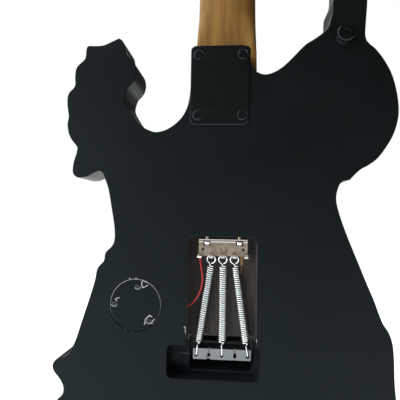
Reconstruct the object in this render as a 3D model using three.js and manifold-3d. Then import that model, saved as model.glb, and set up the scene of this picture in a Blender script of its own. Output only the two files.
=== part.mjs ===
// Electric guitar with a bolt-on neck, a carved-edge slab body and a floating tremolo, seen from behind.
// Millimetres. The player's strings face -Y, the flat back face is the plane y = 0 and faces +Y, the
// neck points along +Z, and +X is the treble side. The origin is on the back face, on the neck's
// centreline, midway between the neck plate and the spring cavity.
import * as THREE from 'three';
import { mergeVertices } from 'three/addons/utils/BufferGeometryUtils.js';
import Module from 'manifold-3d';

const wasm = await Module();
wasm.setup();

// Clearances shared by every piece.
const fit = 0.3; // round a piece in its bore, slot or pocket
const seat = 0.1; // between two flat faces that rest on each other
const overrun = 5; // how far a cutter runs past the face it opens

// Body: a painted slab of wood with a scalloped outline.
const body = { thickness: 42, halfWidth: 145, length: 450, edge: 2 };
const heelTop = 116; // the neck end of the body, on the back face
const heelTreble = 29.8; // its treble and bass sides
const heelBass = -21.8;
const heelCorner = 3.5; // its two corners
const cornerBiteShare = 1 - Math.SQRT1_2; // of a round corner's radius, taken off at its middle
const heelTopShare = heelTop / body.length;
const tailShare = -0.58222222; // the straight tail, which carries the jack and a strap button
const tailEnd = tailShare * body.length;

// Outline points as shares of the body's half width and of its length.
const trebleBayShares = [
  [heelTreble / body.halfWidth, heelTopShare], [0.205, 0.776 * heelTopShare],
  [0.208, 0.648 * heelTopShare], [0.222, 0.551 * heelTopShare],
  [0.252, 0.122], [0.297, 0.107], [0.352, 0.096], [0.414, 0.092], [0.469, 0.098], [0.510, 0.107],
  [0.552, 0.123], [0.582, 0.138], [0.601, 0.150], [0.603, 0.161], [0.588, 0.176], [0.565, 0.185],
  [0.545, 0.194], [0.536, 0.207], [0.541, 0.220], [0.556, 0.230], [0.578, 0.238], [0.598, 0.2455],
  [0.611, 0.256], [0.617, 0.266], [0.630, 0.2735], [0.650, 0.277],
];
const trebleHornShares = [
  [0.650, 0.277], [0.703, 0.269], [0.747, 0.2634], [0.804, 0.2626], [0.837, 0.2628], [0.850, 0.257],
  [0.854, 0.241], [0.866, 0.234], [0.903, 0.2227], [0.915, 0.2122], [0.917, 0.198], [0.915, 0.187],
  [0.925, 0.179], [0.947, 0.172], [0.960, 0.163], [0.962, 0.149], [0.956, 0.135], [0.951, 0.122],
  [0.957, 0.108], [0.950, 0.092], [0.932, 0.0785], [0.896, 0.064], [0.892, 0.0575], [0.897, 0.049],
  [0.911, 0.034], [0.917, 0.018], [0.911, 0.009], [0.888, 0.003], [0.856, 0.0029], [0.823, 0.0051],
  [0.795, 0.010], [0.767, 0.0146], [0.745, 0.015], [0.726, 0.0095], [0.716, 0.001],
];
const trebleFlankShares = [
  [0.716, 0.001], [0.692, -0.020], [0.669, -0.058], [0.650, -0.093], [0.648, -0.116],
  [0.662, -0.129], [0.700, -0.142], [0.710, -0.158], [0.748, -0.173], [0.762, -0.196],
  [0.793, -0.231], [0.834, -0.273], [0.869, -0.309], [0.903, -0.333], [0.938, -0.344],
  [0.979, -0.347], [1.007, -0.358], [1.000, -0.371], [0.959, -0.387], [0.938, -0.402],
  [0.945, -0.416], [0.979, -0.427], [1.014, -0.444], [1.024, -0.467], [1.000, -0.489],
  [0.972, -0.504], [0.979, -0.524], [0.959, -0.547], [0.897, -0.564], [0.807, -0.573],
  [0.717, -0.570], [0.634, -0.575], [0.552, tailShare],
];
const tailShares = [[0.552, tailShare], [-0.510, tailShare]];
const bassFlankShares = [
  [-0.510, tailShare], [-0.690, -0.576], [-0.841, -0.553], [-0.938, -0.516], [-0.983, -0.471],
  [-0.986, -0.422], [-0.972, -0.367], [-0.969, -0.329], [-0.962, -0.298], [-0.941, -0.276],
  [-0.903, -0.256], [-0.859, -0.218], [-0.814, -0.184], [-0.724, -0.113], [-0.683, -0.078],
  [-0.659, -0.053], [-0.648, -0.033], [-0.659, -0.013], [-0.683, -0.001], [-0.724, 0.002],
];
const bassLobeShares = [
  [-0.724, 0.002], [-0.752, 0.012], [-0.786, 0.022], [-0.834, 0.031], [-0.883, 0.044],
  [-0.938, 0.069], [-0.972, 0.091], [-0.993, 0.116], [-0.997, 0.138], [-0.986, 0.167],
  [-0.959, 0.200], [-0.914, 0.228], [-0.868, 0.248], [-0.840, 0.256], [-0.820, 0.263],
];
const bassHornShares = [
  [-0.820, 0.263], [-0.810, 0.276], [-0.815, 0.306], [-0.821, 0.342], [-0.812, 0.391],
  [-0.775, 0.416], [-0.717, 0.4215], [-0.680, 0.408], [-0.663, 0.390], [-0.661, 0.378],
  [-0.655, 0.365], [-0.640, 0.353], [-0.627, 0.342], [-0.624, 0.320], [-0.616, 0.307],
  [-0.601, 0.291], [-0.577, 0.282], [-0.517, 0.268], [-0.465, 0.257], [-0.390, 0.232],
  [-0.341, 0.217], [-0.293, 0.207], [-0.238, 0.202], [-0.190, 0.803 * heelTopShare],
  [-0.157, 0.846 * heelTopShare], [heelBass / body.halfWidth, 0.896 * heelTopShare],
  [heelBass / body.halfWidth, heelTopShare],
];

// Strings: where they break over the saddles and the nut. String 1 is the treble one.
const stringCount = 6;
const scaleLength = 648;
const saddleLine = -146;
const saddleSpread = 53.5; // outer string to outer string
const nutSpread = 35;
const gauges = [0.25, 0.33, 0.43, 0.66, 0.91, 1.17];
const stringFlats = 5; // sides of a string's section
const action = { nut: 1.7, saddle: 5 }; // string above the fingerboard's plane

// Neck: one piece of maple with a square heel, a ramp, a rounded shaft and a tilted headstock.
// The section is square at the heel and rounded along the shaft: the higher the power, the squarer.
const pocketDepth = 16;
const neck = {
  heelEnd: 38.5, heelThickness: 19, heelWidth: 58.5, nutWidth: 43, nutThickness: 14.3,
  middleThickness: 15.6, heelRun: 6, rampRun: 42, shelf: 16,
};
const squareness = { heel: 40, rampEnd: 2.6, shaft: 2.2, head: 2.4 };
const rampShares = [[0, 1, 24], [0.25, 0.97, 12], [0.5, 0.91, 7], [0.75, 0.86, 4]]; // run, depth, power
const neckTip = { widthShare: 0.9, depthShare: 0.98 };
const board = { thickness: 6, overhang: 11, radius: 350 };
const fret = { count: 22, height: 1.1, width: 2.4, inset: 0.3, root: 1.2 };
const head = { tilt: 12, thickness: 14, length: 187, halfWidth: 28, edge: 1, endInset: 15, flare: 20 };
const headTrebleShares = [[0.86, 1], [1, 0.94], [0.96, 0.8], [0.89, 0.6], [0.86, 0.38], [0.82, 0.16]];
const trussRod = { radius: 3, depth: 9.3, tipGap: 24, nutRadius: 4.6, nutLength: 8 };

// Neck plate and its four screws, set towards the treble side.
const plate = { width: 50.4, height: 68.8, corner: 5, thickness: 1.6, offset: 4.4, middle: 81.6 };
const neckScrew = { spanX: 38.2, spanZ: 52.6, radius: 2.1, length: 41.6, head: 4.2, cone: 1.4, tip: 3 };
const cross = { arm: 2.6, width: 0.8, depth: 0.8 }; // driver recess

// Strap buttons: a turned button on a wood screw.
const strap = {
  foot: 7.2, footHeight: 2, waist: 4, waistStart: 4.4, waistEnd: 8, flange: 7, flangeStart: 10.4,
  rim: 12, height: 13, land: 6.3, well: 3.5, wellDepth: 1.2, screw: 2.2, screwLength: 22,
};
const upperStrapShares = [-0.68, 0.267778]; // of the body's half width and its length
const upperStrap = { x: upperStrapShares[0] * body.halfWidth, z: upperStrapShares[1] * body.length };

// Spring cavity in the back, and the slot and pocket that the tremolo block hangs in.
const cavity = { middle: 0.7, halfWidth: 29.5, start: -48.5, end: -150, depth: 16, corner: 6 };
const slot = { halfWidth: 28, start: -136, end: -166.5, corner: 3 };
const pocket = { treble: 46.4, bass: -32.6, start: -140.5, end: -168.6, corner: 5, depth: 20 };

// Claw: a bent steel plate with five hooks, pulled against the springs by two screws.
const claw = {
  face: -9, gauge: 1.3, halfWidth: 21.2, top: -51, bottom: -65.4, tab: 6.6, hooks: 5, hookPitch: 10,
  hookWidth: 2.2, hookEnd: -67.15, tipRise: 3.2, tipEnd: -63.6, tipWidth: 3.4, notch: 6.4,
  notchEnd: -56.2, hole: 1.2, holeX: 17.5, holeZ: -59.8, edge: 0.8,
};
const clawScrew = { x: 14.2, y: -12.3, radius: 1.9, head: 3.5, headLength: 3, length: 32 };

// Springs: extension springs with a flat ring at the claw and a straight leg into the block.
const spring = {
  wire: 1.25, ring: 3.5, ringY: -8, ringZ: -68.1, coil: 3.08, coilY: -11.5, legY: -10.8,
  lead: 2.4, unwind: 4.4, tail: 8.6, hookDepth: 4.5, ringFromTurn: -0.42, ringSweepTurn: 0.81,
  unwindTurn: 0.75,
};
const springTurns = 24;
const springSides = 5;
const turnSteps = 8;
const ringStations = 10;
const unwindStations = 6;
const springHooks = [1, 2, 3]; // which claw hook each spring hangs on, counted from the treble side
const springHoles = [0, 2, 4]; // and which hole of the block

// Ground wire, soldered to the claw's treble hook and led through the cavity wall to the pot.
const groundWire = { radius: 0.8, holeY: -8, holeZ: -108.7, hole: 1.8 };
const groundWireRoute = [
  [19.5, -6.9, -67.6], [19.4, -6.8, -70.8], [18.5, -6.5, -75.9], [17.4, -6.3, -82.0],
  [17.3, -6.3, -87.0], [18.5, -6.4, -93.2], [21.2, -6.9, -100.2],
  [25.4, -7.6, -106.0], [29.8, -8.0, -108.6], [34.0, -8.0, -108.7], [52.0, -8.0, -108.7],
  [57.5, -9.6, -108.6], [62.0, -14.0, -108.4], [65.5, -20.0, -108.2], [69.5, -22.8, -108.0],
];
const wireSides = 8;
const wireSteps = 23;

// Tremolo: a plate on two knife edges, with the block bolted under it and six saddles on top.
const pivot = { y: -46.8, z: -140, x: 37 };
const base = {
  thickness: 3.2, front: -134, ear: -138.6, rear: -181, bass: -41, treble: 44, ledge: 30.5, corner: 3,
};
const block = { halfWidth: 25, front: -146.1, rear: -155.3, bottom: -12, edge: 0.5 };
const blockHole = { spread: 44.8, z: -152, radius: 1.5, depth: 10, slit: 1.5, slitDepth: 2.6 };
const stud = {
  waist: 3.2, lip: 5, groove: 2.8, head: 3.2, headTop: 5.9, collar: 5.6, shank: 3.8, length: 20,
  hex: 2, hexDepth: 1.6,
};
const knife = { open: 5.4 }; // radius of the plate's notch at its faces
const saddle = {
  width: 10.2, length: 30, toe: 2.5, step: 4, nose: 7.2, hump: 10.2, humpEnd: 16, backRise: 24,
  backHeight: 7.4, rearHeight: 6.4, slotWidth: 1.9, slotEnd: 5.8, grip: 5, rise: 1.8, riseEnd: 3,
  restHeight: 7.9, screw: 1.9, screwHead: 2.9, screwHeight: 4.4, screwRun: 8, headRun: 6,
};
const setbacks = [0.5, 1.5, 2.6, 1.5, 2.5, 3.5]; // intonation, string 1 to string 6
const armBush = { x: 38.4, z: -160, radius: 4.8, height: 9 };
const arm = { radius: 2.9, nut: 5, nutLength: 4.6, tip: 3.9, tipLength: 20, seatDepth: 2.6, sides: 8 };
const armRoute = [[0, 8], [-1.4, 11.4], [-5, 13.8], [-12, 15.8], [-46, 20], [-100, 24], [-146, 26]];

// Locking nut: a shelf with three clamp blocks over the strings.
const nut = { length: 16, halfWidth: 21.2, clamps: 3, clampWidth: 12.6, clampLength: 13, clampHeight: 5 };
const nutScrew = { radius: 2, head: 3.2, headHeight: 1.4 };
const nutSlit = 1.7; // height of the slit that the strings pass through

// Pickup at the bridge, in a ring on the front face.
const pickup = {
  z: -103, halfWidth: 34.6, halfLength: 18.3, baseY: -33, gauge: 2.2, top: -53, coilHalfWidth: 33.5,
  coilLength: 17.4, coilCorner: 4, lug: 42, lugHalf: 4, pole: 2.3, poleRise: 0.5, poleRow: 9.2,
  heightScrew: 1.3, heightHead: 2.6, heightHeadRise: 1.4, screwX: 39.4,
};
const ring = { halfWidth: 45.8, halfLength: 22.6, height: 5, windowX: 35.3, windowZ: 19.2, corner: 3 };
const pickupWell = { halfWidth: 36.5, halfLength: 20, depth: 19, legHalfWidth: 43.5, legHalf: 6 };
const wireBore = { radius: 3.2, y: -30 };

// Control cavity, cover, volume pot and knob, output jack.
const control = { x: 74.2, z: -108, radius: 19.8, wall: 6, ear: 4.4, rimDepth: 2 };
const cover = { radius: 22.2, thickness: 1.8, hole: 1.6, holes: 3, holeRing: 17.6, firstHole: 1 };
const coverHoleTurns = [0, 0.258, 0.62]; // shares of a full turn from the first hole
const pot = { radius: 8.2, height: 11.6, bushing: 3.6, bushingTop: 4.4, nut: 5.6, nutHeight: 2.2 };
const shaft = { radius: 3, reach: 9 };
const knob = { radius: 9.4, top: 8.4, height: 14, edge: 1.4, gap: 0.4 };
const jack = {
  x: 55, flange: 12.4, flangeHeight: 2, barrel: 9.8, length: 25, bore: 3.3, boreDepth: 22, ring: 6,
  ringHeight: 2.2, channel: 3.4,
};

// Tuners: six along the bass edge of the headstock.
const tuner = {
  firstPost: 34, pitch: 25.4, edgeInset: 12.6, postRadius: 3, waist: 2.5, postHeight: 15, postEdge: 0.4,
  wrapHeight: 7.4, wrapLift: 0.9, postTop: 3.4, sleeve: 4.8, sleeveFit: 0.6, sleeveNut: 6.4,
  nutHeight: 2.2, caseIn: 7, caseOut: 9, caseHalf: 8.6, caseHeight: 9, caseCorner: 2.2,
  wormOffset: 3.6, wormDepth: 4.6, shaft: 1.9, shaftStart: 4.6, neckGap: 4, keyLength: 15,
  keyWidth: 17, keyThickness: 7.6, keyEdge: 1.2,
};
const keyShares = [
  [0, 0.42], [0.3, 0.92], [0.72, 0.96], [1, 0.4], [1, -0.4], [0.72, -0.96], [0.3, -0.92], [0, -0.42],
];
const wrapTurns = 0.75;
const wrapSteps = 8; // to a turn

// Places worked out from the sizes.
const frontY = -body.thickness;
const glueY = frontY + pocketDepth - fit - neck.heelThickness; // where the fingerboard is glued
const boardTopY = glueY - seat - board.thickness;
const nutZ = saddleLine + scaleLength;
const baseTopY = pivot.y - base.thickness / 2;
const baseBottomY = pivot.y + base.thickness / 2;
const nutBottomY = boardTopY - action.nut; // underside of the strings
const saddleBottomY = baseTopY - saddle.restHeight - seat;
const tilt = THREE.MathUtils.degToRad(head.tilt);
const tunerRun = nutSpread / (stringCount - 1);
const edgeAngle = Math.atan2(tunerRun, tuner.pitch);

// Facets round a section: bores and small bars, turned metal, and wide discs.
const smallSides = 6;
const fineSides = 8;
const turnedSides = 10;
const wideSides = 20;
const neckFacets = 9; // round the back of the neck
const crownFacets = 4; // across the fingerboard

// Finishes.
function finish(color, roughness, metalness) {
  return new THREE.MeshStandardMaterial({ color, roughness, metalness });
}
const blackPaint = finish('#15181b', 0.55, 0);
const maple = finish('#b98a55', 0.45, 0);
const rosewood = finish('#3a231a', 0.6, 0);
const blackMetal = finish('#1b1d1f', 0.35, 0.9);
const nickel = finish('#b9ad97', 0.3, 1);
const steel = finish('#c9cbcc', 0.28, 1);
const castZinc = finish('#9a9d9f', 0.5, 0.9);
const blackPlastic = finish('#17191b', 0.5, 0);
const redPlastic = finish('#c8262b', 0.45, 0);

// Shapes.
function solidOf(geometry) {
  const bare = geometry.clone();
  bare.deleteAttribute('normal');
  bare.deleteAttribute('uv');
  const merged = mergeVertices(bare);
  const corners = merged.index.array;
  const kept = [];
  for (let i = 0; i < corners.length; i += 3) {
    const [a, b, c] = [corners[i], corners[i + 1], corners[i + 2]];
    if (a !== b && b !== c && c !== a) kept.push(a, b, c);
  }
  return new wasm.Manifold(new wasm.Mesh({
    numProp: 3,
    vertProperties: new Float32Array(merged.attributes.position.array),
    triVerts: new Uint32Array(kept),
  }));
}

function joined(...solids) {
  return solids.reduce((whole, next) => whole.add(next));
}

function cutBy(whole, ...cutters) {
  return cutters.reduce((rest, cutter) => rest.subtract(cutter), whole);
}

function geometryOf(solid) {
  const mesh = solid.getMesh();
  const geometry = new THREE.BufferGeometry();
  geometry.setAttribute('position', new THREE.BufferAttribute(mesh.vertProperties, 3));
  geometry.setIndex(new THREE.BufferAttribute(mesh.triVerts, 1));
  geometry.computeVertexNormals();
  return geometry;
}

function brick([x0, x1], [y0, y1], [z0, z1]) {
  const geometry = new THREE.BoxGeometry(x1 - x0, y1 - y0, z1 - z0);
  return solidOf(geometry.translate((x0 + x1) / 2, (y0 + y1) / 2, (z0 + z1) / 2));
}

// A round bar along Y, Z or X between two places.
function rodY(radius, x, z, y0, y1, sides = fineSides) {
  const bar = new THREE.CylinderGeometry(radius, radius, y1 - y0, sides);
  return solidOf(bar.translate(x, (y0 + y1) / 2, z));
}

function rodZ(radius, x, y, z0, z1, sides = fineSides) {
  const bar = new THREE.CylinderGeometry(radius, radius, z1 - z0, sides);
  return solidOf(bar.rotateX(Math.PI / 2).translate(x, y, (z0 + z1) / 2));
}

function rodX(radius, y, z, x0, x1, sides = fineSides) {
  const bar = new THREE.CylinderGeometry(radius, radius, x1 - x0, sides);
  return solidOf(bar.rotateZ(Math.PI / 2).translate((x0 + x1) / 2, y, z));
}

function rodBetween(radius, from, to, sides = fineSides) {
  const [a, b] = [new THREE.Vector3(...from), new THREE.Vector3(...to)];
  const run = b.clone().sub(a);
  const bar = new THREE.CylinderGeometry(radius, radius, run.length(), sides);
  const turn = new THREE.Quaternion().setFromUnitVectors(new THREE.Vector3(0, 1, 0), run.normalize());
  const middle = a.add(b).multiplyScalar(0.5);
  return solidOf(bar.applyQuaternion(turn).translate(middle.x, middle.y, middle.z));
}

// A shape drawn in X and Z, given its thickness along Y.
function slabGeometry(shape, y0, y1, edge = 0, edgeSteps = 1, curveSegments = 3) {
  const geometry = new THREE.ExtrudeGeometry(shape, {
    depth: y1 - y0 - 2 * edge, curveSegments, bevelEnabled: edge > 0, bevelThickness: edge,
    bevelSize: edge, bevelOffset: -edge, bevelSegments: edgeSteps,
  });
  return geometry.rotateX(Math.PI / 2).translate(0, y1 - edge, 0);
}

function slab(...sizes) {
  return solidOf(slabGeometry(...sizes));
}

// A shape drawn in Z and Y, given its width along X.
function sideSlab(points, x0, x1) {
  const shape = new THREE.Shape(points.map(([z, y]) => new THREE.Vector2(z, y)));
  const geometry = new THREE.ExtrudeGeometry(shape, { depth: x1 - x0, bevelEnabled: false });
  return solidOf(geometry.rotateY(-Math.PI / 2).translate(x1, 0, 0));
}

function roundedRect(x0, x1, z0, z1, corner) {
  const shape = new THREE.Shape();
  shape.moveTo(x0 + corner, z0);
  shape.lineTo(x1 - corner, z0);
  shape.absarc(x1 - corner, z0 + corner, corner, -Math.PI / 2, 0);
  shape.lineTo(x1, z1 - corner);
  shape.absarc(x1 - corner, z1 - corner, corner, 0, Math.PI / 2);
  shape.lineTo(x0 + corner, z1);
  shape.absarc(x0 + corner, z1 - corner, corner, Math.PI / 2, Math.PI);
  shape.lineTo(x0, z0 + corner);
  shape.absarc(x0 + corner, z0 + corner, corner, Math.PI, 1.5 * Math.PI);
  return shape;
}

// A profile of [radius, height] points turned about an axis along Y, heights rising.
function turned(profile, x = 0, z = 0, sides = turnedSides) {
  const points = profile.map(([radius, y]) => new THREE.Vector2(radius, y));
  return solidOf(new THREE.LatheGeometry(points, sides).translate(x, 0, z));
}

// Rings of the same count of points, each counter-clockwise seen from the next ring's side.
function loft(rings) {
  const count = rings[0].length;
  const index = [];
  for (let ringNumber = 0; ringNumber + 1 < rings.length; ringNumber += 1) {
    for (let i = 0; i < count; i += 1) {
      const a = ringNumber * count + i;
      const b = ringNumber * count + (i + 1) % count;
      index.push(a, b, b + count, a, b + count, a + count);
    }
  }
  const last = (rings.length - 1) * count;
  for (let i = 1; i + 1 < count; i += 1) {
    index.push(0, i + 1, i, last, last + i, last + i + 1);
  }
  const geometry = new THREE.BufferGeometry();
  geometry.setAttribute('position', new THREE.Float32BufferAttribute(rings.flat(2), 3));
  geometry.setIndex(index);
  return solidOf(geometry);
}

// A path that runs straight from station to station, so a tube has exactly one ring at each.
class StationPath extends THREE.Curve {
  constructor(stations) {
    super();
    this.stations = stations;
  }

  getPoint(share) {
    return this.stations[Math.round(share * (this.stations.length - 1))].clone();
  }

  getPointAt(share) {
    return this.getPoint(share);
  }

  getTangentAt(share) {
    const at = Math.round(share * (this.stations.length - 1));
    const before = this.stations[Math.max(at - 1, 0)];
    const after = this.stations[Math.min(at + 1, this.stations.length - 1)];
    return after.clone().sub(before).normalize();
  }
}

function tube(stations, radius, sides) {
  const section = new THREE.Shape(Array.from({ length: sides }, (_, i) => {
    const turn = (2 * Math.PI * i) / sides;
    return new THREE.Vector2(radius * Math.cos(turn), radius * Math.sin(turn));
  }));
  return new THREE.ExtrudeGeometry(section, {
    steps: stations.length - 1, extrudePath: new StationPath(stations),
  });
}

function smoothStations(points, steps) {
  const curve = new THREE.CatmullRomCurve3(points.map((point) => new THREE.Vector3(...point)));
  return curve.getSpacedPoints(steps);
}

// The closest that a tube comes to itself, measured between stations more than half a turn apart.
function leastGap(stations, diameter, apart) {
  let least = Infinity;
  stations.forEach((point, i) => {
    for (let j = i + apart; j < stations.length; j += 1) {
      least = Math.min(least, point.distanceTo(stations[j]));
    }
  });
  return least - diameter;
}

const guitar = new THREE.Group();

function place(name, shape, material, parent = guitar) {
  const geometry = shape.isBufferGeometry ? shape : geometryOf(shape);
  const mesh = new THREE.Mesh(geometry, material);
  mesh.name = name;
  parent.add(mesh);
  return mesh;
}

// Where string number i (0 is the treble one) crosses the saddles and the nut.
function spreadX(i, spread) {
  return spread / 2 - (i * spread) / (stringCount - 1);
}

function neckHalfWidth(z) {
  const share = (nutZ - z) / (nutZ - neck.heelEnd);
  return (neck.nutWidth + (neck.heelWidth - neck.nutWidth) * share) / 2;
}

// The square heel in plan, from its end to a place up the neck.
function heelShape(to, gap) {
  const from = neck.heelEnd - gap;
  return new THREE.Shape([
    new THREE.Vector2(-neckHalfWidth(from) - gap, from), new THREE.Vector2(neckHalfWidth(from) + gap, from),
    new THREE.Vector2(neckHalfWidth(to) + gap, to), new THREE.Vector2(-neckHalfWidth(to) - gap, to),
  ]);
}

function neckScrewPlaces() {
  return [1, -1].flatMap((up) => [1, -1].map((across) => [
    plate.offset + (across * neckScrew.spanX) / 2, plate.middle + (up * neckScrew.spanZ) / 2,
  ]));
}

function coverHolePlaces() {
  return coverHoleTurns.map((share) => {
    const turn = 2 * Math.PI * share + Math.atan2(cover.firstHole, cover.holeRing);
    return [control.x + cover.holeRing * Math.cos(turn), control.z + cover.holeRing * Math.sin(turn)];
  });
}

function bodyOutline() {
  const shape = new THREE.Shape();
  shape.moveTo(heelTreble - heelCorner, heelTop);
  shape.lineTo(heelTreble - heelCorner * cornerBiteShare, heelTop - heelCorner * cornerBiteShare);
  shape.lineTo(heelTreble, heelTop - heelCorner);
  [trebleBayShares, trebleHornShares, trebleFlankShares, tailShares, bassFlankShares,
    bassLobeShares, bassHornShares].forEach((shares) => {
    const points = shares.map(([x, z]) => new THREE.Vector2(x * body.halfWidth, z * body.length));
    if (shares === bassHornShares) points[points.length - 1].y -= heelCorner;
    if (points.length > 2) shape.splineThru(points.slice(1));
    else shape.lineTo(points[1].x, points[1].y);
  });
  shape.lineTo(heelBass + heelCorner * cornerBiteShare, heelTop - heelCorner * cornerBiteShare);
  shape.lineTo(heelBass + heelCorner, heelTop);
  return shape;
}

function makeBody() {
  const wood = slab(bodyOutline(), frontY, 0, body.edge, 1, 1);
  const beyondFront = frontY - overrun;
  const neckPocket = slab(heelShape(heelTop + overrun, fit), beyondFront, frontY + pocketDepth);
  const springCavity = slab(
    roundedRect(cavity.middle - cavity.halfWidth, cavity.middle + cavity.halfWidth, cavity.end,
      cavity.start, cavity.corner), -cavity.depth, overrun);
  const blockSlot = slab(
    roundedRect(cavity.middle - slot.halfWidth, cavity.middle + slot.halfWidth, slot.end, slot.start,
      slot.corner), beyondFront, -overrun);
  const blockPocket = slab(
    roundedRect(pocket.bass, pocket.treble, pocket.end, pocket.start, pocket.corner),
    -pocket.depth, overrun);
  const pickupDepth = frontY + pickupWell.depth;
  const coilWell = brick([-pickupWell.halfWidth, pickupWell.halfWidth], [beyondFront, pickupDepth],
    [pickup.z - pickupWell.halfLength, pickup.z + pickupWell.halfLength]);
  const legWell = brick([-pickupWell.legHalfWidth, pickupWell.legHalfWidth], [beyondFront, pickupDepth],
    [pickup.z - pickupWell.legHalf, pickup.z + pickupWell.legHalf]);
  const ears = coverHolePlaces().map(([x, z]) => rodY(control.ear, x, z, frontY, 0));
  const controlCavity = cutBy(
    rodY(control.radius, control.x, control.z, frontY + control.wall, overrun, wideSides), ...ears);
  const coverRim = rodY(cover.radius + fit, control.x, control.z, -control.rimDepth, overrun, wideSides);
  const potHole = rodY(pot.bushing + fit, control.x, control.z, beyondFront, 0);
  const pickupBore = rodX(wireBore.radius, wireBore.y, pickup.z, 0, control.x);
  const groundBore = rodX(groundWire.hole, groundWire.holeY, groundWire.holeZ, cavity.middle, control.x);
  const neckBores = neckScrewPlaces().map(([x, z]) => rodY(neckScrew.radius + fit, x, z, frontY, overrun));
  const clawBores = [1, -1].map((side) => rodZ(clawScrew.radius + fit, side * clawScrew.x, clawScrew.y,
    cavity.start - overrun, claw.top + clawScrew.length + fit));
  const studBores = [1, -1].map((side) => rodY(stud.shank + fit, side * pivot.x, studZ(),
    beyondFront, frontY + stud.length + fit));
  const upperBore = rodY(strap.screw + fit, upperStrap.x, upperStrap.z, -strap.screwLength - fit, overrun);
  const lowerBore = rodZ(strap.screw + fit, 0, frontY / 2, tailEnd - overrun,
    tailEnd + strap.screwLength + fit);
  const jackBore = rodZ(jack.barrel + fit, jack.x, frontY / 2, tailEnd - overrun,
    tailEnd + jack.length + fit, turnedSides);
  const jackChannel = rodBetween(jack.channel, [jack.x, frontY / 2, tailEnd + jack.length],
    [control.x, frontY / 2, control.z - control.radius / 2]);
  return cutBy(wood, neckPocket, springCavity, blockSlot, blockPocket, coilWell, legWell, controlCavity,
    coverRim, potHole, pickupBore, groundBore, ...neckBores, ...clawBores, ...studBores, upperBore,
    lowerBore, jackBore, jackChannel);
}

// One cross-section of the neck: a flat front and a back that goes from square to rounded.
function neckRing(halfWidth, depth, power, toPoint) {
  return Array.from({ length: neckFacets + 1 }, (_, i) => {
    const turn = (Math.PI * i) / neckFacets;
    const [c, s] = [Math.cos(turn), Math.sin(turn)];
    const x = halfWidth * Math.sign(c) * Math.abs(c) ** (2 / power);
    return toPoint(x, depth * Math.abs(s) ** (2 / power));
  });
}

function headPoint(x, y, along) {
  return [x, glueY + y * Math.cos(tilt) + along * Math.sin(tilt),
    nutZ + neck.shelf - y * Math.sin(tilt) + along * Math.cos(tilt)];
}

function toHead(solid) {
  const mesh = geometryOf(solid);
  return solidOf(mesh.rotateX(-tilt).translate(0, glueY, nutZ + neck.shelf));
}

function postPlace(i) {
  const fromNut = stringCount - 1 - i; // the bass string's post is nearest
  return [spreadX(i, nutSpread) - wrapRadius(i), tuner.firstPost + fromNut * tuner.pitch];
}

function wrapRadius(i) {
  return tuner.waist + fit + gauges[i] / 2;
}

function headOutline() {
  const edgeX = (along) => postPlace(stringCount - 1)[0] - tuner.edgeInset / Math.cos(edgeAngle)
    + (along - tuner.firstPost) * Math.tan(edgeAngle);
  const edgeEnd = head.length - head.endInset;
  const half = neck.nutWidth / 2;
  const shape = new THREE.Shape();
  shape.moveTo(half, 0);
  shape.lineTo(-half, 0);
  shape.quadraticCurveTo(-half, head.flare / 2, edgeX(head.flare), head.flare);
  shape.lineTo(edgeX(edgeEnd), edgeEnd);
  const [tip, ...trebleEdge] = headTrebleShares.map(([x, z]) => (
    new THREE.Vector2(x * head.halfWidth, z * head.length)));
  shape.quadraticCurveTo(edgeX(head.length), head.length, tip.x, tip.y);
  shape.splineThru(trebleEdge);
  return shape;
}

function makeNeck() {
  const rampStart = heelTop + neck.heelRun;
  const rampEnd = rampStart + neck.rampRun;
  const halfway = (rampEnd + nutZ) / 2;
  const heelDepth = neck.heelThickness;
  const ramp = rampShares.map(([run, depth, power]) => (
    [rampStart + neck.rampRun * run, heelDepth * depth, power]));
  const levels = [
    [heelTop, heelDepth, squareness.heel], ...ramp,
    [rampEnd, neck.middleThickness, squareness.rampEnd],
    [halfway, neck.middleThickness, squareness.shaft],
    [nutZ - neck.shelf, neck.nutThickness, squareness.shaft],
  ];
  const rings = levels.map(([z, depth, power]) => (
    neckRing(neckHalfWidth(z), depth, power, (x, y) => [x, glueY + y, z])));
  const half = neck.nutWidth / 2;
  rings.push(neckRing(half, neck.nutThickness, squareness.head, (x, y) => headPoint(x, y, 0)));
  rings.push(neckRing(half * neckTip.widthShare, neck.nutThickness * neckTip.depthShare, squareness.head,
    (x, y) => headPoint(x, y + seat, neck.shelf)));
  const shaftWood = loft(rings);
  const heel = slab(heelShape(rampStart, 0), glueY, glueY + heelDepth);
  const headWood = toHead(slab(headOutline(), 0, head.thickness, head.edge, 1, 3));
  const rodWay = brick([-trussRod.radius - fit, trussRod.radius + fit],
    [glueY - overrun, glueY + trussRod.depth], [neck.heelEnd - overrun, nutZ - trussRod.tipGap + fit]);
  const rodNutWay = brick([-trussRod.nutRadius - fit, trussRod.nutRadius + fit],
    [glueY - overrun, glueY + trussRod.depth + trussRod.nutRadius - trussRod.radius],
    [neck.heelEnd - overrun, neck.heelEnd + trussRod.nutLength + fit]);
  const screwBores = neckScrewPlaces().map(([x, z]) => (
    rodY(neckScrew.radius + fit, x, z, plate.thickness + seat - neckScrew.length - fit, 0)));
  const postBores = gauges.map((_, i) => {
    const [x, along] = postPlace(i);
    return toHead(rodY(tuner.sleeve + tuner.sleeveFit, x, along, -overrun, head.thickness + overrun));
  });
  return cutBy(joined(shaftWood, heel, headWood), rodWay, rodNutWay, ...screwBores, ...postBores);
}

// A strip of fingerboard or fret with a crowned front.
function crownRing(z, halfWidth, backY, frontCentreY) {
  const crown = Array.from({ length: crownFacets + 1 }, (_, i) => {
    const x = halfWidth * ((2 * i) / crownFacets - 1);
    return [x, frontCentreY + board.radius - Math.sqrt(board.radius ** 2 - x ** 2), z];
  });
  return [[halfWidth, backY, z], [-halfWidth, backY, z], ...crown];
}

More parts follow.
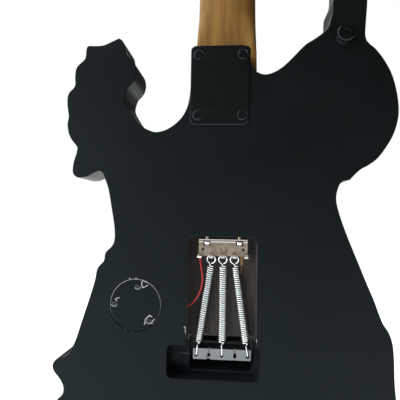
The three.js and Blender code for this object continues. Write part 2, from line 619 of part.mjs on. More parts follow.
function makeFretboard() {
  const end = neck.heelEnd - board.overhang;
  const nutEnd = nutZ - seat;
  const wood = loft([end, nutEnd].map((z) => crownRing(z, neckHalfWidth(z), glueY - seat, boardTopY)));
  const frets = Array.from({ length: fret.count }, (_, i) => {
    const z = saddleLine + scaleLength / 2 ** ((i + 1) / 12);
    const halfWidth = neckHalfWidth(z) - fret.inset;
    const rootY = boardTopY + fret.root + board.radius - Math.sqrt(board.radius ** 2 - halfWidth ** 2);
    const tops = [[-fret.width, 0], [0, fret.height], [fret.width, 0]];
    return loft(tops.map(([along, height]) => (
      crownRing(z + along / 2, halfWidth, rootY, boardTopY - height - seat))));
  });
  return joined(wood, ...frets);
}

function makeTrussRod() {
  const y = glueY + trussRod.depth - fit - trussRod.radius;
  const nutStart = neck.heelEnd + seat;
  const bar = rodZ(trussRod.radius, 0, y, nutStart, nutZ - trussRod.tipGap);
  const hexNut = rodZ(trussRod.nutRadius, 0, y, nutStart, neck.heelEnd + trussRod.nutLength, smallSides);
  return joined(bar, hexNut);
}

function makeNeckPlate() {
  const [halfWidth, halfHeight] = [plate.width / 2, plate.height / 2];
  const sheet = slab(roundedRect(plate.offset - halfWidth, plate.offset + halfWidth,
    plate.middle - halfHeight, plate.middle + halfHeight, plate.corner), seat, seat + plate.thickness);
  const faceY = seat + plate.thickness;
  const neckR = neckScrew.radius + fit;
  const sinks = neckScrewPlaces().map(([x, z]) => turned([
    [0, -overrun], [neckR, -overrun], [neckR, faceY - neckScrew.cone - fit],
    [neckScrew.head + fit, faceY - fit], [neckScrew.head + fit, faceY + overrun], [0, faceY + overrun],
  ], x, z, fineSides));
  return cutBy(sheet, ...sinks);
}

// A cross for the driver, cut into a screw's face.
function driverCross(x, z, y) {
  const [deep, half] = [[y - cross.depth, y + overrun], cross.width / 2];
  return joined(
    brick([x - cross.arm, x + cross.arm], deep, [z - half, z + half]),
    brick([x - half, x + half], deep, [z - cross.arm, z + cross.arm]));
}

function makeNeckScrew([x, z]) {
  const faceY = seat + plate.thickness;
  const tipY = faceY - neckScrew.length;
  const metal = turned([
    [0, tipY], [neckScrew.radius, tipY + neckScrew.tip],
    [neckScrew.radius, faceY - neckScrew.cone - fit], [neckScrew.head, faceY - fit], [0, faceY - fit],
  ], x, z, fineSides);
  return cutBy(metal, driverCross(x, z, faceY - fit));
}

function makeStrapButton() {
  const button = turned([
    [0, -strap.screwLength], [strap.screw, -strap.screwLength + strap.screw], [strap.screw, seat],
    [strap.foot, seat], [strap.foot, strap.footHeight], [strap.waist, strap.waistStart],
    [strap.waist, strap.waistEnd], [strap.flange, strap.flangeStart], [strap.flange, strap.rim],
    [strap.land, strap.height], [strap.well, strap.height], [strap.well, strap.height - strap.wellDepth],
    [0, strap.height - strap.wellDepth + seat]]);
  return cutBy(button, driverCross(0, 0, strap.height - strap.wellDepth));
}

function makeClaw() {
  const bottomY = claw.face - claw.gauge;
  const sheet = slab(roundedRect(-claw.halfWidth, claw.halfWidth, claw.bottom, claw.top, claw.edge),
    bottomY, claw.face, 0, 1, 1);
  const tab = brick([-claw.halfWidth, claw.halfWidth], [claw.face - claw.tab, claw.face],
    [claw.top - claw.gauge, claw.top]);
  const hooks = Array.from({ length: claw.hooks }, (_, i) => {
    const x = hookX(i);
    const side = claw.hookWidth / 2;
    const tipY = claw.face + claw.tipRise;
    const tipSide = claw.tipWidth / 2;
    return joined(
      brick([x - side, x + side], [bottomY, claw.face], [claw.hookEnd, claw.bottom + claw.edge]),
      brick([x - side, x + side], [bottomY, tipY], [claw.hookEnd, claw.hookEnd + claw.gauge]),
      brick([x - tipSide, x + tipSide], [tipY - claw.gauge, tipY], [claw.hookEnd, claw.tipEnd]));
  });
  const notches = [1, -1].map((side) => brick(
    [side * clawScrew.x - claw.notch / 2, side * clawScrew.x + claw.notch / 2],
    [bottomY - seat, claw.face + overrun], [claw.notchEnd, claw.top - claw.gauge]));
  const screwBores = [1, -1].map((side) => rodZ(clawScrew.radius + fit, side * clawScrew.x, clawScrew.y,
    claw.top - overrun, claw.top + overrun));
  const holes = [1, -1].map((side) => rodY(claw.hole, side * claw.holeX, claw.holeZ,
    bottomY - overrun, claw.face + overrun));
  return cutBy(joined(sheet, tab, ...hooks), ...notches, ...screwBores, ...holes);
}

function hookX(i) {
  return claw.hookPitch * ((claw.hooks - 1) / 2 - i);
}

function makeClawScrew(side) {
  const headEnd = claw.top - claw.gauge - seat;
  const x = side * clawScrew.x;
  return joined(
    rodZ(clawScrew.head, x, clawScrew.y, headEnd - clawScrew.headLength, headEnd, turnedSides),
    rodZ(clawScrew.radius, x, clawScrew.y, headEnd - clawScrew.headLength, claw.top + clawScrew.length));
}

function blockHoleX(i) {
  return blockHole.spread / 2 - (i * blockHole.spread) / (claw.hooks - 1);
}

// The centre line of one spring, with its ring at the origin and its leg along -Z.
function springStations(length) {
  const coilRise = spring.coilY;
  const turns = springTurns;
  const coilStart = spring.ring + spring.lead;
  const coilLength = length - coilStart - spring.unwind - spring.tail;
  const stations = [];
  for (let i = 0; i < ringStations; i += 1) {
    const turn = 2 * Math.PI * (spring.ringFromTurn + (spring.ringSweepTurn * i) / (ringStations - 1));
    const [across, up] = [spring.ring * Math.sin(turn), spring.ring * Math.cos(turn)];
    stations.push(new THREE.Vector3(across, spring.ringY, up));
  }
  for (let i = 0; i <= turns * turnSteps; i += 1) {
    const turn = (2 * Math.PI * i) / turnSteps;
    const along = coilStart + (coilLength * i) / (turns * turnSteps);
    const [across, level] = [-spring.coil * Math.sin(turn), coilRise + spring.coil * Math.cos(turn)];
    stations.push(new THREE.Vector3(across, level, -along));
  }
  for (let i = 1; i <= unwindStations; i += 1) {
    const share = i / unwindStations;
    const turn = 2 * Math.PI * spring.unwindTurn * share;
    const radius = spring.coil * (1 - share);
    const level = coilRise + (spring.legY - coilRise) * share;
    stations.push(new THREE.Vector3(-radius * Math.sin(turn), level + radius * Math.cos(turn),
      -(coilStart + coilLength + spring.unwind * share)));
  }
  stations.push(new THREE.Vector3(0, spring.legY, -(length - spring.wire)));
  stations.push(new THREE.Vector3(0, spring.legY - spring.wire / 2, -length + spring.wire / 4));
  stations.push(new THREE.Vector3(0, spring.legY - spring.hookDepth, -length));
  return stations;
}

function placeSpring(number) {
  const from = new THREE.Vector2(hookX(springHooks[number]), spring.ringZ);
  const to = new THREE.Vector2(blockHoleX(springHoles[number]), blockHole.z);
  const run = to.clone().sub(from);
  const stations = springStations(run.length());
  const gap = leastGap(stations, spring.wire, turnSteps / 2 + 1);
  console.log(`spring ${number + 1}: least gap to itself ${gap.toFixed(2)} mm`);
  const mesh = place(`spring_${number + 1}`, tube(stations, spring.wire / 2, springSides), steel);
  mesh.position.set(from.x, 0, from.y);
  mesh.rotation.y = Math.atan2(-run.x, -run.y);
}

function studZ() {
  return pivot.z + stud.waist + fit;
}

function makeStud(side) {
  const [x, z] = [side * pivot.x, studZ()];
  const topY = pivot.y - stud.headTop;
  const metal = turned([
    [0, topY], [stud.lip, topY], [stud.lip, pivot.y - stud.groove], [stud.waist, pivot.y],
    [stud.lip, pivot.y + stud.groove], [stud.collar, frontY - stud.hexDepth], [stud.collar, frontY - seat],
    [stud.shank, frontY - seat], [stud.shank, frontY + stud.length], [0, frontY + stud.length]], x, z);
  return cutBy(metal, rodY(stud.hex, x, z, topY - overrun, topY + stud.hexDepth, smallSides));
}

function makeTremoloPlate() {
  const shape = new THREE.Shape([
    [-base.ledge, base.front], [-base.ledge, base.ear], [base.bass, base.ear],
    [base.bass, base.rear + base.corner], [base.bass + base.corner, base.rear],
    [base.treble - base.corner, base.rear], [base.treble, base.rear + base.corner],
    [base.treble, base.ear], [base.ledge, base.ear], [base.ledge, base.front],
  ].map(([x, z]) => new THREE.Vector2(x, z)));
  const sheet = slab(shape, baseTopY, baseBottomY);
  const bush = rodY(armBush.radius, armBush.x, armBush.z, baseTopY - armBush.height, baseBottomY,
    turnedSides);
  const bushBore = rodY(arm.radius + fit, armBush.x, armBush.z,
    baseTopY - armBush.height - overrun, baseBottomY + overrun, turnedSides);
  const narrow = stud.waist + fit;
  const notches = [1, -1].map((side) => turned([
    [0, baseTopY - overrun], [knife.open, baseTopY - overrun], [knife.open, baseTopY], [narrow, pivot.y],
    [knife.open, baseBottomY], [knife.open, baseBottomY + overrun], [0, baseBottomY + overrun],
  ], side * pivot.x, studZ()));
  return cutBy(joined(sheet, bush), bushBore, ...notches);
}

function makeBlock() {
  const shape = roundedRect(-block.halfWidth, block.halfWidth, block.rear, block.front, block.edge);
  const metal = slab(shape, baseBottomY + seat, block.bottom, 0, 1, 1);
  const holes = Array.from({ length: claw.hooks }, (_, i) => {
    const x = blockHoleX(i);
    return joined(
      rodY(blockHole.radius, x, blockHole.z, block.bottom - blockHole.depth, block.bottom + overrun),
      brick([x - blockHole.slit / 2, x + blockHole.slit / 2],
        [block.bottom - blockHole.slitDepth, block.bottom + overrun], [blockHole.z, block.front + overrun]));
  });
  return cutBy(metal, ...holes);
}

function makeSaddle(i) {
  const x = spreadX(i, saddleSpread);
  const breakZ = saddleLine - setbacks[i];
  const outline = [
    [-saddle.toe, seat], [-saddle.toe, saddle.step], [-saddle.toe / 2, saddle.nose], [0, saddle.restHeight],
    [saddle.rise, saddle.restHeight], [saddle.riseEnd, saddle.hump], [saddle.humpEnd, saddle.hump],
    [saddle.backRise, saddle.backHeight], [saddle.length, saddle.rearHeight], [saddle.length, seat],
  ].map(([back, up]) => [breakZ - back, baseTopY - up]);
  const metal = sideSlab(outline, x - saddle.width / 2, x + saddle.width / 2);
  const channel = brick([x - saddle.slotWidth / 2, x + saddle.slotWidth / 2],
    [baseTopY - saddle.hump - overrun, baseTopY - saddle.restHeight],
    [breakZ - saddle.slotEnd, breakZ + overrun]);
  const rear = breakZ - saddle.length;
  const screwY = baseTopY - saddle.screwHeight;
  const lockScrew = joined(
    rodZ(saddle.screw, x, screwY, rear - saddle.screwRun, rear + seat, smallSides),
    rodZ(saddle.screwHead, x, screwY, rear - saddle.screwRun - saddle.headRun, rear - saddle.screwRun,
      smallSides));
  return joined(cutBy(metal, channel), lockScrew);
}

function makeArm() {
  const topY = baseTopY - armBush.height;
  const stations = [[armBush.x, baseBottomY - arm.seatDepth, armBush.z]]
    .concat(armRoute.map(([along, up]) => [armBush.x, topY - up, armBush.z + along]))
    .map((point) => new THREE.Vector3(...point));
  const bar = solidOf(tube(stations, arm.radius, arm.sides));
  const collar = rodY(arm.nut, armBush.x, armBush.z, topY - seat - arm.nutLength, topY - seat);
  const end = stations[stations.length - 1];
  const back = stations[stations.length - 2].clone().sub(end).setLength(arm.tipLength).add(end);
  const tip = rodBetween(arm.tip, back.toArray(), end.toArray());
  return joined(bar, collar, tip);
}

function makeLockingNut() {
  const topY = nutBottomY + seat;
  const slitTop = topY - nutSlit;
  const shelf = brick([-nut.halfWidth, nut.halfWidth], [topY, glueY - seat],
    [nutZ, nutZ + nut.length - seat]);
  const pitch = (2 * nut.halfWidth) / nut.clamps;
  const middle = nutZ + nut.length / 2;
  const clamps = Array.from({ length: nut.clamps }, (_, i) => {
    const x = pitch * (i - (nut.clamps - 1) / 2);
    return joined(
      brick([x - nut.clampWidth / 2, x + nut.clampWidth / 2], [slitTop - nut.clampHeight, slitTop],
        [middle - nut.clampLength / 2, middle + nut.clampLength / 2]),
      rodY(nutScrew.radius, x, middle, slitTop - nut.clampHeight, topY + seat, smallSides),
      rodY(nutScrew.head, x, middle, slitTop - nut.clampHeight - nutScrew.headHeight,
        slitTop - nut.clampHeight + seat));
  });
  return joined(shelf, ...clamps);
}

function makePickup() {
  const sheet = brick([-pickup.halfWidth, pickup.halfWidth], [pickup.baseY - pickup.gauge, pickup.baseY],
    [pickup.z - pickup.halfLength, pickup.z + pickup.halfLength]);
  const lugs = brick([-pickup.lug, pickup.lug], [pickup.baseY - pickup.gauge, pickup.baseY],
    [pickup.z - pickup.lugHalf, pickup.z + pickup.lugHalf]);
  const coils = [1, -1].map((side) => {
    const z = pickup.z + side * pickup.poleRow;
    const half = pickup.coilLength / 2;
    const coil = slab(roundedRect(-pickup.coilHalfWidth, pickup.coilHalfWidth, z - half, z + half,
      pickup.coilCorner), pickup.top, pickup.baseY - seat, 0, 1, 2);
    const poles = (side > 0 ? [] : gauges).map((_, i) => {
      const share = (pickup.z - saddleLine) / scaleLength;
      const x = spreadX(i, saddleSpread + (nutSpread - saddleSpread) * share);
      return rodY(pickup.pole, x, z, pickup.top - pickup.poleRise, pickup.top + seat, smallSides);
    });
    return joined(coil, ...poles);
  });
  const ringTop = frontY - seat - ring.height;
  const screws = [1, -1].map((side) => joined(
    rodY(pickup.heightScrew, side * pickup.screwX, pickup.z, ringTop - seat, pickup.baseY),
    rodY(pickup.heightHead, side * pickup.screwX, pickup.z, ringTop - seat - pickup.heightHeadRise,
      ringTop - seat)));
  return joined(sheet, lugs, ...coils, ...screws);
}

function makePickupRing() {
  const low = frontY - seat;
  const frame = slab(roundedRect(-ring.halfWidth, ring.halfWidth, pickup.z - ring.halfLength,
    pickup.z + ring.halfLength, ring.corner), low - ring.height, low);
  const window = brick([-ring.windowX, ring.windowX], [low - ring.height - overrun, low + overrun],
    [pickup.z - ring.windowZ, pickup.z + ring.windowZ]);
  const bores = [1, -1].map((side) => rodY(pickup.heightScrew + fit, side * pickup.screwX, pickup.z,
    low - ring.height - overrun, low + overrun));
  return cutBy(frame, window, ...bores);
}

function makeCover() {
  const disc = rodY(cover.radius, control.x, control.z, -cover.thickness, 0, wideSides);
  const holes = coverHolePlaces().map(([x, z]) => rodY(cover.hole, x, z, -overrun, overrun));
  return cutBy(disc, ...holes);
}

function makePot() {
  const floorY = frontY + control.wall;
  const bushTop = frontY - seat - pot.bushingTop;
  const can = rodY(pot.radius, control.x, control.z, floorY + fit, floorY + fit + pot.height, turnedSides);
  const bushing = rodY(pot.bushing, control.x, control.z, bushTop, floorY + fit + seat);
  const hexNut = rodY(pot.nut, control.x, control.z, frontY - seat - pot.nutHeight, frontY - seat,
    smallSides);
  const bore = rodY(shaft.radius + fit, control.x, control.z, bushTop - overrun,
    bushTop + shaft.reach + fit);
  return cutBy(joined(can, bushing, hexNut), bore);
}

function makeKnob() {
  const bushTop = frontY - seat - pot.bushingTop;
  const low = bushTop - knob.gap;
  const cap = turned([
    [0, low - knob.height], [knob.top - knob.edge, low - knob.height],
    [knob.top, low - knob.height + knob.edge], [knob.radius, low - knob.edge], [knob.radius, low], [0, low],
  ], control.x, control.z, wideSides);
  return joined(cap, rodY(shaft.radius, control.x, control.z, low - seat, bushTop + shaft.reach));
}

function makeJack() {
  const face = tailEnd - seat;
  const y = frontY / 2;
  const metal = joined(
    rodZ(jack.flange, jack.x, y, face - jack.flangeHeight, face, wideSides),
    rodZ(jack.barrel, jack.x, y, face - seat, tailEnd + jack.length, turnedSides),
    rodZ(jack.ring, jack.x, y, face - jack.flangeHeight - jack.ringHeight, face, smallSides));
  return cutBy(metal, rodZ(jack.bore, jack.x, y, face - jack.flangeHeight - overrun,
    tailEnd - jack.flangeHeight + jack.boreDepth, turnedSides));
}

function placeTuner(i, headGroup) {
  const [x, along] = postPlace(i);
  const group = new THREE.Group();
  group.position.set(x, 0, along);
  group.rotation.y = edgeAngle;
  headGroup.add(group);
  const number = i + 1;
  const backY = head.thickness + seat;
  const shaftY = backY + tuner.wormDepth;
  const caseShape = roundedRect(-tuner.caseOut, tuner.caseIn, -tuner.caseHalf, tuner.caseHalf,
    tuner.caseCorner);
  const box = slab(caseShape, backY, backY + tuner.caseHeight, 0, 1, 1);
  const sleeve = rodY(tuner.sleeve, 0, 0, -seat - tuner.nutHeight, backY + seat);
  const sleeveNut = rodY(tuner.sleeveNut, 0, 0, -seat - tuner.nutHeight, -seat, smallSides);
  const postBore = rodY(tuner.postRadius + fit, 0, 0, -overrun, backY + tuner.postTop + fit);
  const shaftBore = rodX(tuner.shaft + fit, shaftY, tuner.wormOffset, -tuner.caseOut - overrun,
    -tuner.shaftStart + fit);
  const housing = cutBy(joined(box, sleeve, sleeveNut), postBore, shaftBore);
  place(`tuner_housing_${number}`, housing, blackMetal, group);

  const tip = -tuner.postHeight;
  const post = turned([
    [0, tip], [tuner.postRadius, tip],
    [tuner.postRadius, tip + tuner.postTop], [tuner.waist, tip + tuner.postTop + tuner.postEdge],
    [tuner.waist, -tuner.nutHeight - fit], [tuner.postRadius, -tuner.nutHeight],
    [tuner.postRadius, backY + tuner.postTop], [0, backY + tuner.postTop],
  ], 0, 0, fineSides);
  place(`tuner_post_${number}`, post, blackMetal, group);

  const keyStart = -tuner.edgeInset - tuner.neckGap;
  const key = slab(new THREE.Shape(keyShares.map(([out, across]) => new THREE.Vector2(
    keyStart - out * tuner.keyLength, (across * tuner.keyWidth) / 2))),
  -tuner.keyThickness / 2, tuner.keyThickness / 2, tuner.keyEdge);
  const stem = rodX(tuner.shaft, 0, 0, keyStart - tuner.keyEdge, -tuner.shaftStart);
  const button = place(`tuner_button_${number}`, joined(key, stem), blackMetal, group);
  button.position.set(0, shaftY, tuner.wormOffset);
}

// One string: gripped in its saddle, over the saddle and the nut, and wound on its post.
function stringStations(i) {
  const radius = gauges[i] / 2;
  const breakZ = saddleLine - setbacks[i];
  const saddleX = spreadX(i, saddleSpread);
  const nutX = spreadX(i, nutSpread);
  const saddleY = saddleBottomY - radius;
  const nutY = nutBottomY - radius;
  const stations = [
    [saddleX, saddleY, breakZ - saddle.grip], [saddleX, saddleY, breakZ], [nutX, nutY, nutZ],
    [nutX, nutY, nutZ + nut.length],
  ];
  const [postX, along] = postPlace(i);
  const around = wrapRadius(i);
  const steps = Math.round(wrapTurns * wrapSteps);
  for (let k = 0; k <= steps; k += 1) {
    const turn = (2 * Math.PI * k) / wrapSteps;
    const up = -tuner.wrapHeight + (tuner.wrapLift + gauges[i]) * (k / wrapSteps);
    stations.push(headPoint(postX + around * Math.cos(turn), up, along + around * Math.sin(turn)));
  }
  return stations.map((point) => new THREE.Vector3(...point));
}

place('guitar_body', makeBody(), blackPaint);
place('neck', makeNeck(), maple);
place('fretboard', makeFretboard(), rosewood);
place('truss_rod', makeTrussRod(), steel);
place('locking_nut', makeLockingNut(), blackMetal);
place('neck_plate', makeNeckPlate(), blackMetal);
neckScrewPlaces().forEach((at, i) => place(`neck_screw_${i + 1}`, makeNeckScrew(at), blackMetal));

const upperButton = place('upper_strap_button', makeStrapButton(), blackMetal);
upperButton.position.set(upperStrap.x, 0, upperStrap.z);
const lowerButton = place('lower_strap_button', makeStrapButton(), blackMetal);
lowerButton.position.set(0, frontY / 2, tailEnd);
lowerButton.rotation.x = -Math.PI / 2;

place('spring_claw', makeClaw(), nickel);
[1, -1].forEach((side, i) => place(`claw_screw_${i + 1}`, makeClawScrew(side), nickel));
springHooks.forEach((_, i) => placeSpring(i));
const wireStations = smoothStations(groundWireRoute, wireSteps);
place('ground_wire', tube(wireStations, groundWire.radius, wireSides), redPlastic);

place('tremolo_plate', makeTremoloPlate(), blackMetal);
place('tremolo_block', makeBlock(), castZinc);
[1, -1].forEach((side, i) => place(`pivot_stud_${i + 1}`, makeStud(side), blackMetal));
place('tremolo_arm', makeArm(), blackMetal);
gauges.forEach((_, i) => place(`saddle_${i + 1}`, makeSaddle(i), blackMetal));

place('pickup_ring', makePickupRing(), blackPlastic);
place('humbucker', makePickup(), blackPlastic);
place('control_cover', makeCover(), blackPlastic);
place('volume_pot', makePot(), steel);
place('volume_knob', makeKnob(), blackMetal);
place('output_jack', makeJack(), blackMetal);

const headGroup = new THREE.Group();
headGroup.position.set(0, glueY, nutZ + neck.shelf);
headGroup.rotation.x = -tilt;
guitar.add(headGroup);
gauges.forEach((_, i) => placeTuner(i, headGroup));
gauges.forEach((gauge, i) => {
  place(`string_${i + 1}`, tube(stringStations(i), gauge / 2, stringFlats), steel);
});

export default guitar;
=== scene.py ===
import math

import bpy
from mathutils import Matrix, Vector


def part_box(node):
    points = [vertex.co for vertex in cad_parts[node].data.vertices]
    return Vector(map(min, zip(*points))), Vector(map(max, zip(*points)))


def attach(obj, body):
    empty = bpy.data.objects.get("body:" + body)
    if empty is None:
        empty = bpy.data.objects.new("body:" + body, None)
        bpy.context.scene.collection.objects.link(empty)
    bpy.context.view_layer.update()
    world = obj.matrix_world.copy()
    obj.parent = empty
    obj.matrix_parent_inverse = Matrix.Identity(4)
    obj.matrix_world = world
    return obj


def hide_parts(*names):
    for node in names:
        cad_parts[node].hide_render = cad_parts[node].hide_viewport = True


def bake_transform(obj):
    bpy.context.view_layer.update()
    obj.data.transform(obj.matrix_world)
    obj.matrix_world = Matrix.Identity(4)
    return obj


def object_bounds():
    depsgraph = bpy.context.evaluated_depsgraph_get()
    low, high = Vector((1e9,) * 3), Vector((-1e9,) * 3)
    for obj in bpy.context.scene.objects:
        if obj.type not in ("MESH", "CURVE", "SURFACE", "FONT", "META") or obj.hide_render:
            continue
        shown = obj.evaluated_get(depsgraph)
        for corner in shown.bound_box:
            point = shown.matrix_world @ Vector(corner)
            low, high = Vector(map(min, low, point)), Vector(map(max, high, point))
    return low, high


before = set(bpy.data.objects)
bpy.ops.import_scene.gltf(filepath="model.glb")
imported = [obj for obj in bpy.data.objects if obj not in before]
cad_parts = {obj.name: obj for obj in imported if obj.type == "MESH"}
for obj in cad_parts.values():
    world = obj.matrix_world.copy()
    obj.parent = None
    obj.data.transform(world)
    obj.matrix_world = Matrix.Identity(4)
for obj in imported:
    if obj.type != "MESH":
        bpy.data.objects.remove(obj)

cad_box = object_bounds()


# BODY. A slab of solid wood, 42 mm thick, sawn to a scalloped outline, rounded over at its edges and sprayed
# with a satin black lacquer. The spring cavity in its back is brushed with thin black paint, the pocket of
# the tremolo block behind it is gloss black, and small chips at the edges show the pale wood.
MM = 0.001
HALF_WIDTH, LENGTH, THICKNESS = 145, 450, 42
HEEL_TOP, HEEL_TREBLE, HEEL_BASS, HEEL_CORNER, TAIL_END = 116, 29.8, -21.8, 3.5, -262
HEEL_SHARE, TAIL_SHARE = (HEEL_TOP - HEEL_CORNER) / LENGTH, TAIL_END / LENGTH
TREBLE_BAY = [
    (HEEL_TREBLE / HALF_WIDTH, HEEL_SHARE), (0.205, 0.200), (0.208, 0.167), (0.222, 0.142), (0.252, 0.122),
    (0.297, 0.107), (0.352, 0.096), (0.414, 0.092), (0.469, 0.098), (0.510, 0.107), (0.552, 0.123),
    (0.582, 0.138), (0.601, 0.150), (0.603, 0.161), (0.588, 0.176), (0.565, 0.185), (0.545, 0.194),
    (0.536, 0.207), (0.541, 0.220), (0.556, 0.230), (0.578, 0.238), (0.598, 0.2455), (0.611, 0.256),
    (0.617, 0.266), (0.630, 0.2735), (0.650, 0.277)]
TREBLE_HORN = [
    (0.650, 0.277), (0.703, 0.269), (0.747, 0.2634), (0.804, 0.2626), (0.837, 0.2628), (0.850, 0.257),
    (0.854, 0.241), (0.866, 0.234), (0.903, 0.2227), (0.915, 0.2122), (0.917, 0.198), (0.915, 0.187),
    (0.925, 0.179), (0.947, 0.172), (0.960, 0.163), (0.962, 0.149), (0.956, 0.135), (0.951, 0.122),
    (0.957, 0.108), (0.950, 0.092), (0.932, 0.0785), (0.896, 0.064), (0.892, 0.0575), (0.897, 0.049),
    (0.911, 0.034), (0.917, 0.018), (0.911, 0.009), (0.888, 0.003), (0.856, 0.0029), (0.823, 0.0051),
    (0.795, 0.010), (0.767, 0.0146), (0.745, 0.015), (0.726, 0.0095), (0.716, 0.001)]
TREBLE_FLANK = [
    (0.716, 0.001), (0.692, -0.020), (0.669, -0.058), (0.650, -0.093), (0.648, -0.116), (0.662, -0.129),
    (0.700, -0.142), (0.710, -0.158), (0.748, -0.173), (0.762, -0.196), (0.793, -0.231), (0.834, -0.273),
    (0.869, -0.309), (0.903, -0.333), (0.938, -0.344), (0.979, -0.347), (1.007, -0.358), (1.000, -0.371),
    (0.959, -0.387), (0.938, -0.402), (0.945, -0.416), (0.979, -0.427), (1.014, -0.444), (1.024, -0.467),
    (1.000, -0.489), (0.972, -0.504), (0.979, -0.524), (0.959, -0.547), (0.897, -0.564), (0.807, -0.573),
    (0.717, -0.570), (0.634, -0.575), (0.552, TAIL_SHARE)]
TAIL = [(0.552, TAIL_SHARE), (-0.510, TAIL_SHARE)]
BASS_FLANK = [
    (-0.510, TAIL_SHARE), (-0.690, -0.576), (-0.841, -0.553), (-0.938, -0.516), (-0.983, -0.471),
    (-0.986, -0.422), (-0.972, -0.367), (-0.969, -0.329), (-0.962, -0.298), (-0.941, -0.276),
    (-0.903, -0.256), (-0.859, -0.218), (-0.814, -0.184), (-0.724, -0.113), (-0.683, -0.078),
    (-0.659, -0.053), (-0.648, -0.033), (-0.659, -0.013), (-0.683, -0.001), (-0.724, 0.002)]
BASS_LOBE = [
    (-0.724, 0.002), (-0.752, 0.012), (-0.786, 0.022), (-0.834, 0.031), (-0.883, 0.044), (-0.938, 0.069),
    (-0.972, 0.091), (-0.993, 0.116), (-0.997, 0.138), (-0.986, 0.167), (-0.959, 0.200), (-0.914, 0.228),
    (-0.868, 0.248), (-0.840, 0.256), (-0.820, 0.263)]
BASS_HORN = [
    (-0.820, 0.263), (-0.810, 0.276), (-0.815, 0.306), (-0.821, 0.342), (-0.812, 0.391), (-0.775, 0.416),
    (-0.717, 0.4215), (-0.680, 0.408), (-0.663, 0.390), (-0.661, 0.378), (-0.655, 0.365), (-0.640, 0.353),
    (-0.627, 0.342), (-0.624, 0.320), (-0.616, 0.307), (-0.601, 0.291), (-0.577, 0.282), (-0.517, 0.268),
    (-0.465, 0.257), (-0.390, 0.232), (-0.341, 0.217), (-0.293, 0.207), (-0.238, 0.202), (-0.190, 0.207),
    (-0.157, 0.218), (HEEL_BASS / HALF_WIDTH, 0.231), (HEEL_BASS / HALF_WIDTH, HEEL_SHARE)]


def smooth_run(points, steps=6):
    """A soft curve through the points of an open run, flat or in space, without its last point."""
    drawn = []
    for i in range(len(points) - 1):
        near = [points[max(min(k, len(points) - 1), 0)] for k in (i - 1, i, i + 1, i + 2)]
        for step in range(steps if len(points) > 2 else 1):
            t = step / steps
            drawn.append(tuple(0.5 * (2 * b + (c - a) * t + (2 * a - 5 * b + 4 * c - d) * t ** 2
                                      + (3 * b - a - 3 * c + d) * t ** 3) for a, b, c, d in zip(*near)))
    return drawn


def on_circle(middle, radius, degrees):
    """The point of a circle at an angle."""
    turn = math.radians(degrees)
    return middle[0] + radius * math.cos(turn), middle[1] + radius * math.sin(turn)


def shift(x, y, z):
    """A move by millimetres."""
    return Matrix.Translation((x * MM, y * MM, z * MM))


def take(piece):
    """Makes one piece the only one selected, and the active one."""
    bpy.ops.object.select_all(action="DESELECT")
    piece.select_set(True)
    bpy.context.view_layer.objects.active = piece
    return piece


def add_piece(name, data):
    """A new object for a mesh or curve."""
    piece = bpy.data.objects.new(name, data)
    bpy.context.collection.objects.link(piece)
    return take(piece)


def edit(piece, operator, **settings):
    """Runs one operator on the whole of a piece in edit mode."""
    take(piece)
    bpy.ops.object.mode_set(mode="EDIT")
    bpy.ops.mesh.select_all(action="SELECT")
    operator(**settings)
    bpy.ops.object.mode_set(mode="OBJECT")
    return piece


def outward(piece):
    """Turns the faces of a closed piece outwards."""
    return edit(piece, bpy.ops.mesh.normals_make_consistent, inside=False)


def slab(name, outline, y0, y1):
    """An outline of X and Z in millimetres, pushed through from y1 to y0 as a closed solid."""
    mesh = bpy.data.meshes.new(name)
    mesh.from_pydata([(x * MM, y1 * MM, z * MM) for x, z in outline], [], [range(len(outline))])
    piece = add_piece(name, mesh)
    edit(piece, bpy.ops.mesh.extrude_region_move, TRANSFORM_OT_translate={"value": (0, (y0 - y1) * MM, 0)})
    return outward(piece)


def rounded(x0, x1, z0, z1, corner, steps=8):
    """The outline of a rectangle with round corners."""
    centres = [(x1 - corner, z1 - corner, 0), (x0 + corner, z1 - corner, 90), (x0 + corner, z0 + corner, 180),
               (x1 - corner, z0 + corner, 270)]
    return [on_circle((x, z), corner, start + 90 * k / steps) for x, z, start in centres for k in range(steps + 1)]


def circle(x, z, radius, steps=64):
    """A round outline."""
    return [(x + radius * math.cos(2 * math.pi * k / steps), z + radius * math.sin(2 * math.pi * k / steps))
            for k in range(steps)]


def modify(piece, kind, **settings):
    """Adds a modifier with its settings and applies it."""
    take(piece)
    modifier = piece.modifiers.new(kind.lower(), kind)
    for key, value in settings.items():
        setattr(modifier, key, value)
    bpy.ops.object.modifier_apply(modifier=modifier.name)
    return piece


def cut(piece, *cutters):
    """Cuts other solids out of a piece. The faces that a solid leaves keep that solid's finish."""
    for cutter in cutters:
        modify(piece, "BOOLEAN", operation="DIFFERENCE", solver="EXACT", object=cutter, material_mode="TRANSFER")
        bpy.data.objects.remove(cutter)
    return piece


def soften(piece, edge=0, steps=2, over=35, clamp=True):
    """Breaks the sharp edges by so many millimetres and smooths the shading, with flat faces left flat."""
    if edge:
        modify(piece, "BEVEL", width=edge * MM, segments=steps, limit_method="ANGLE",
               angle_limit=math.radians(over), use_clamp_overlap=clamp)
    take(piece)
    bpy.ops.object.shade_smooth_by_angle(angle=math.radians(over))
    return modify(piece, "WEIGHTED_NORMAL", keep_sharp=True)


def colour(code):
    """An sRGB hex colour as the linear red, green, blue and alpha that a socket takes."""
    parts = [int(code[i:i + 2], 16) / 255 for i in (1, 3, 5)]
    return [p / 12.92 if p <= 0.04045 else ((p + 0.055) / 1.055) ** 2.4 for p in parts] + [1]


def join(tree, node, links):
    """Joins outputs to a node's sockets. A node in an output's place stands for its first output in use."""
    for key, source in links.items():
        if isinstance(source, bpy.types.Node):
            source = next(output for output in source.outputs if output.enabled)
        tree.links.new(source, node.inputs[key])


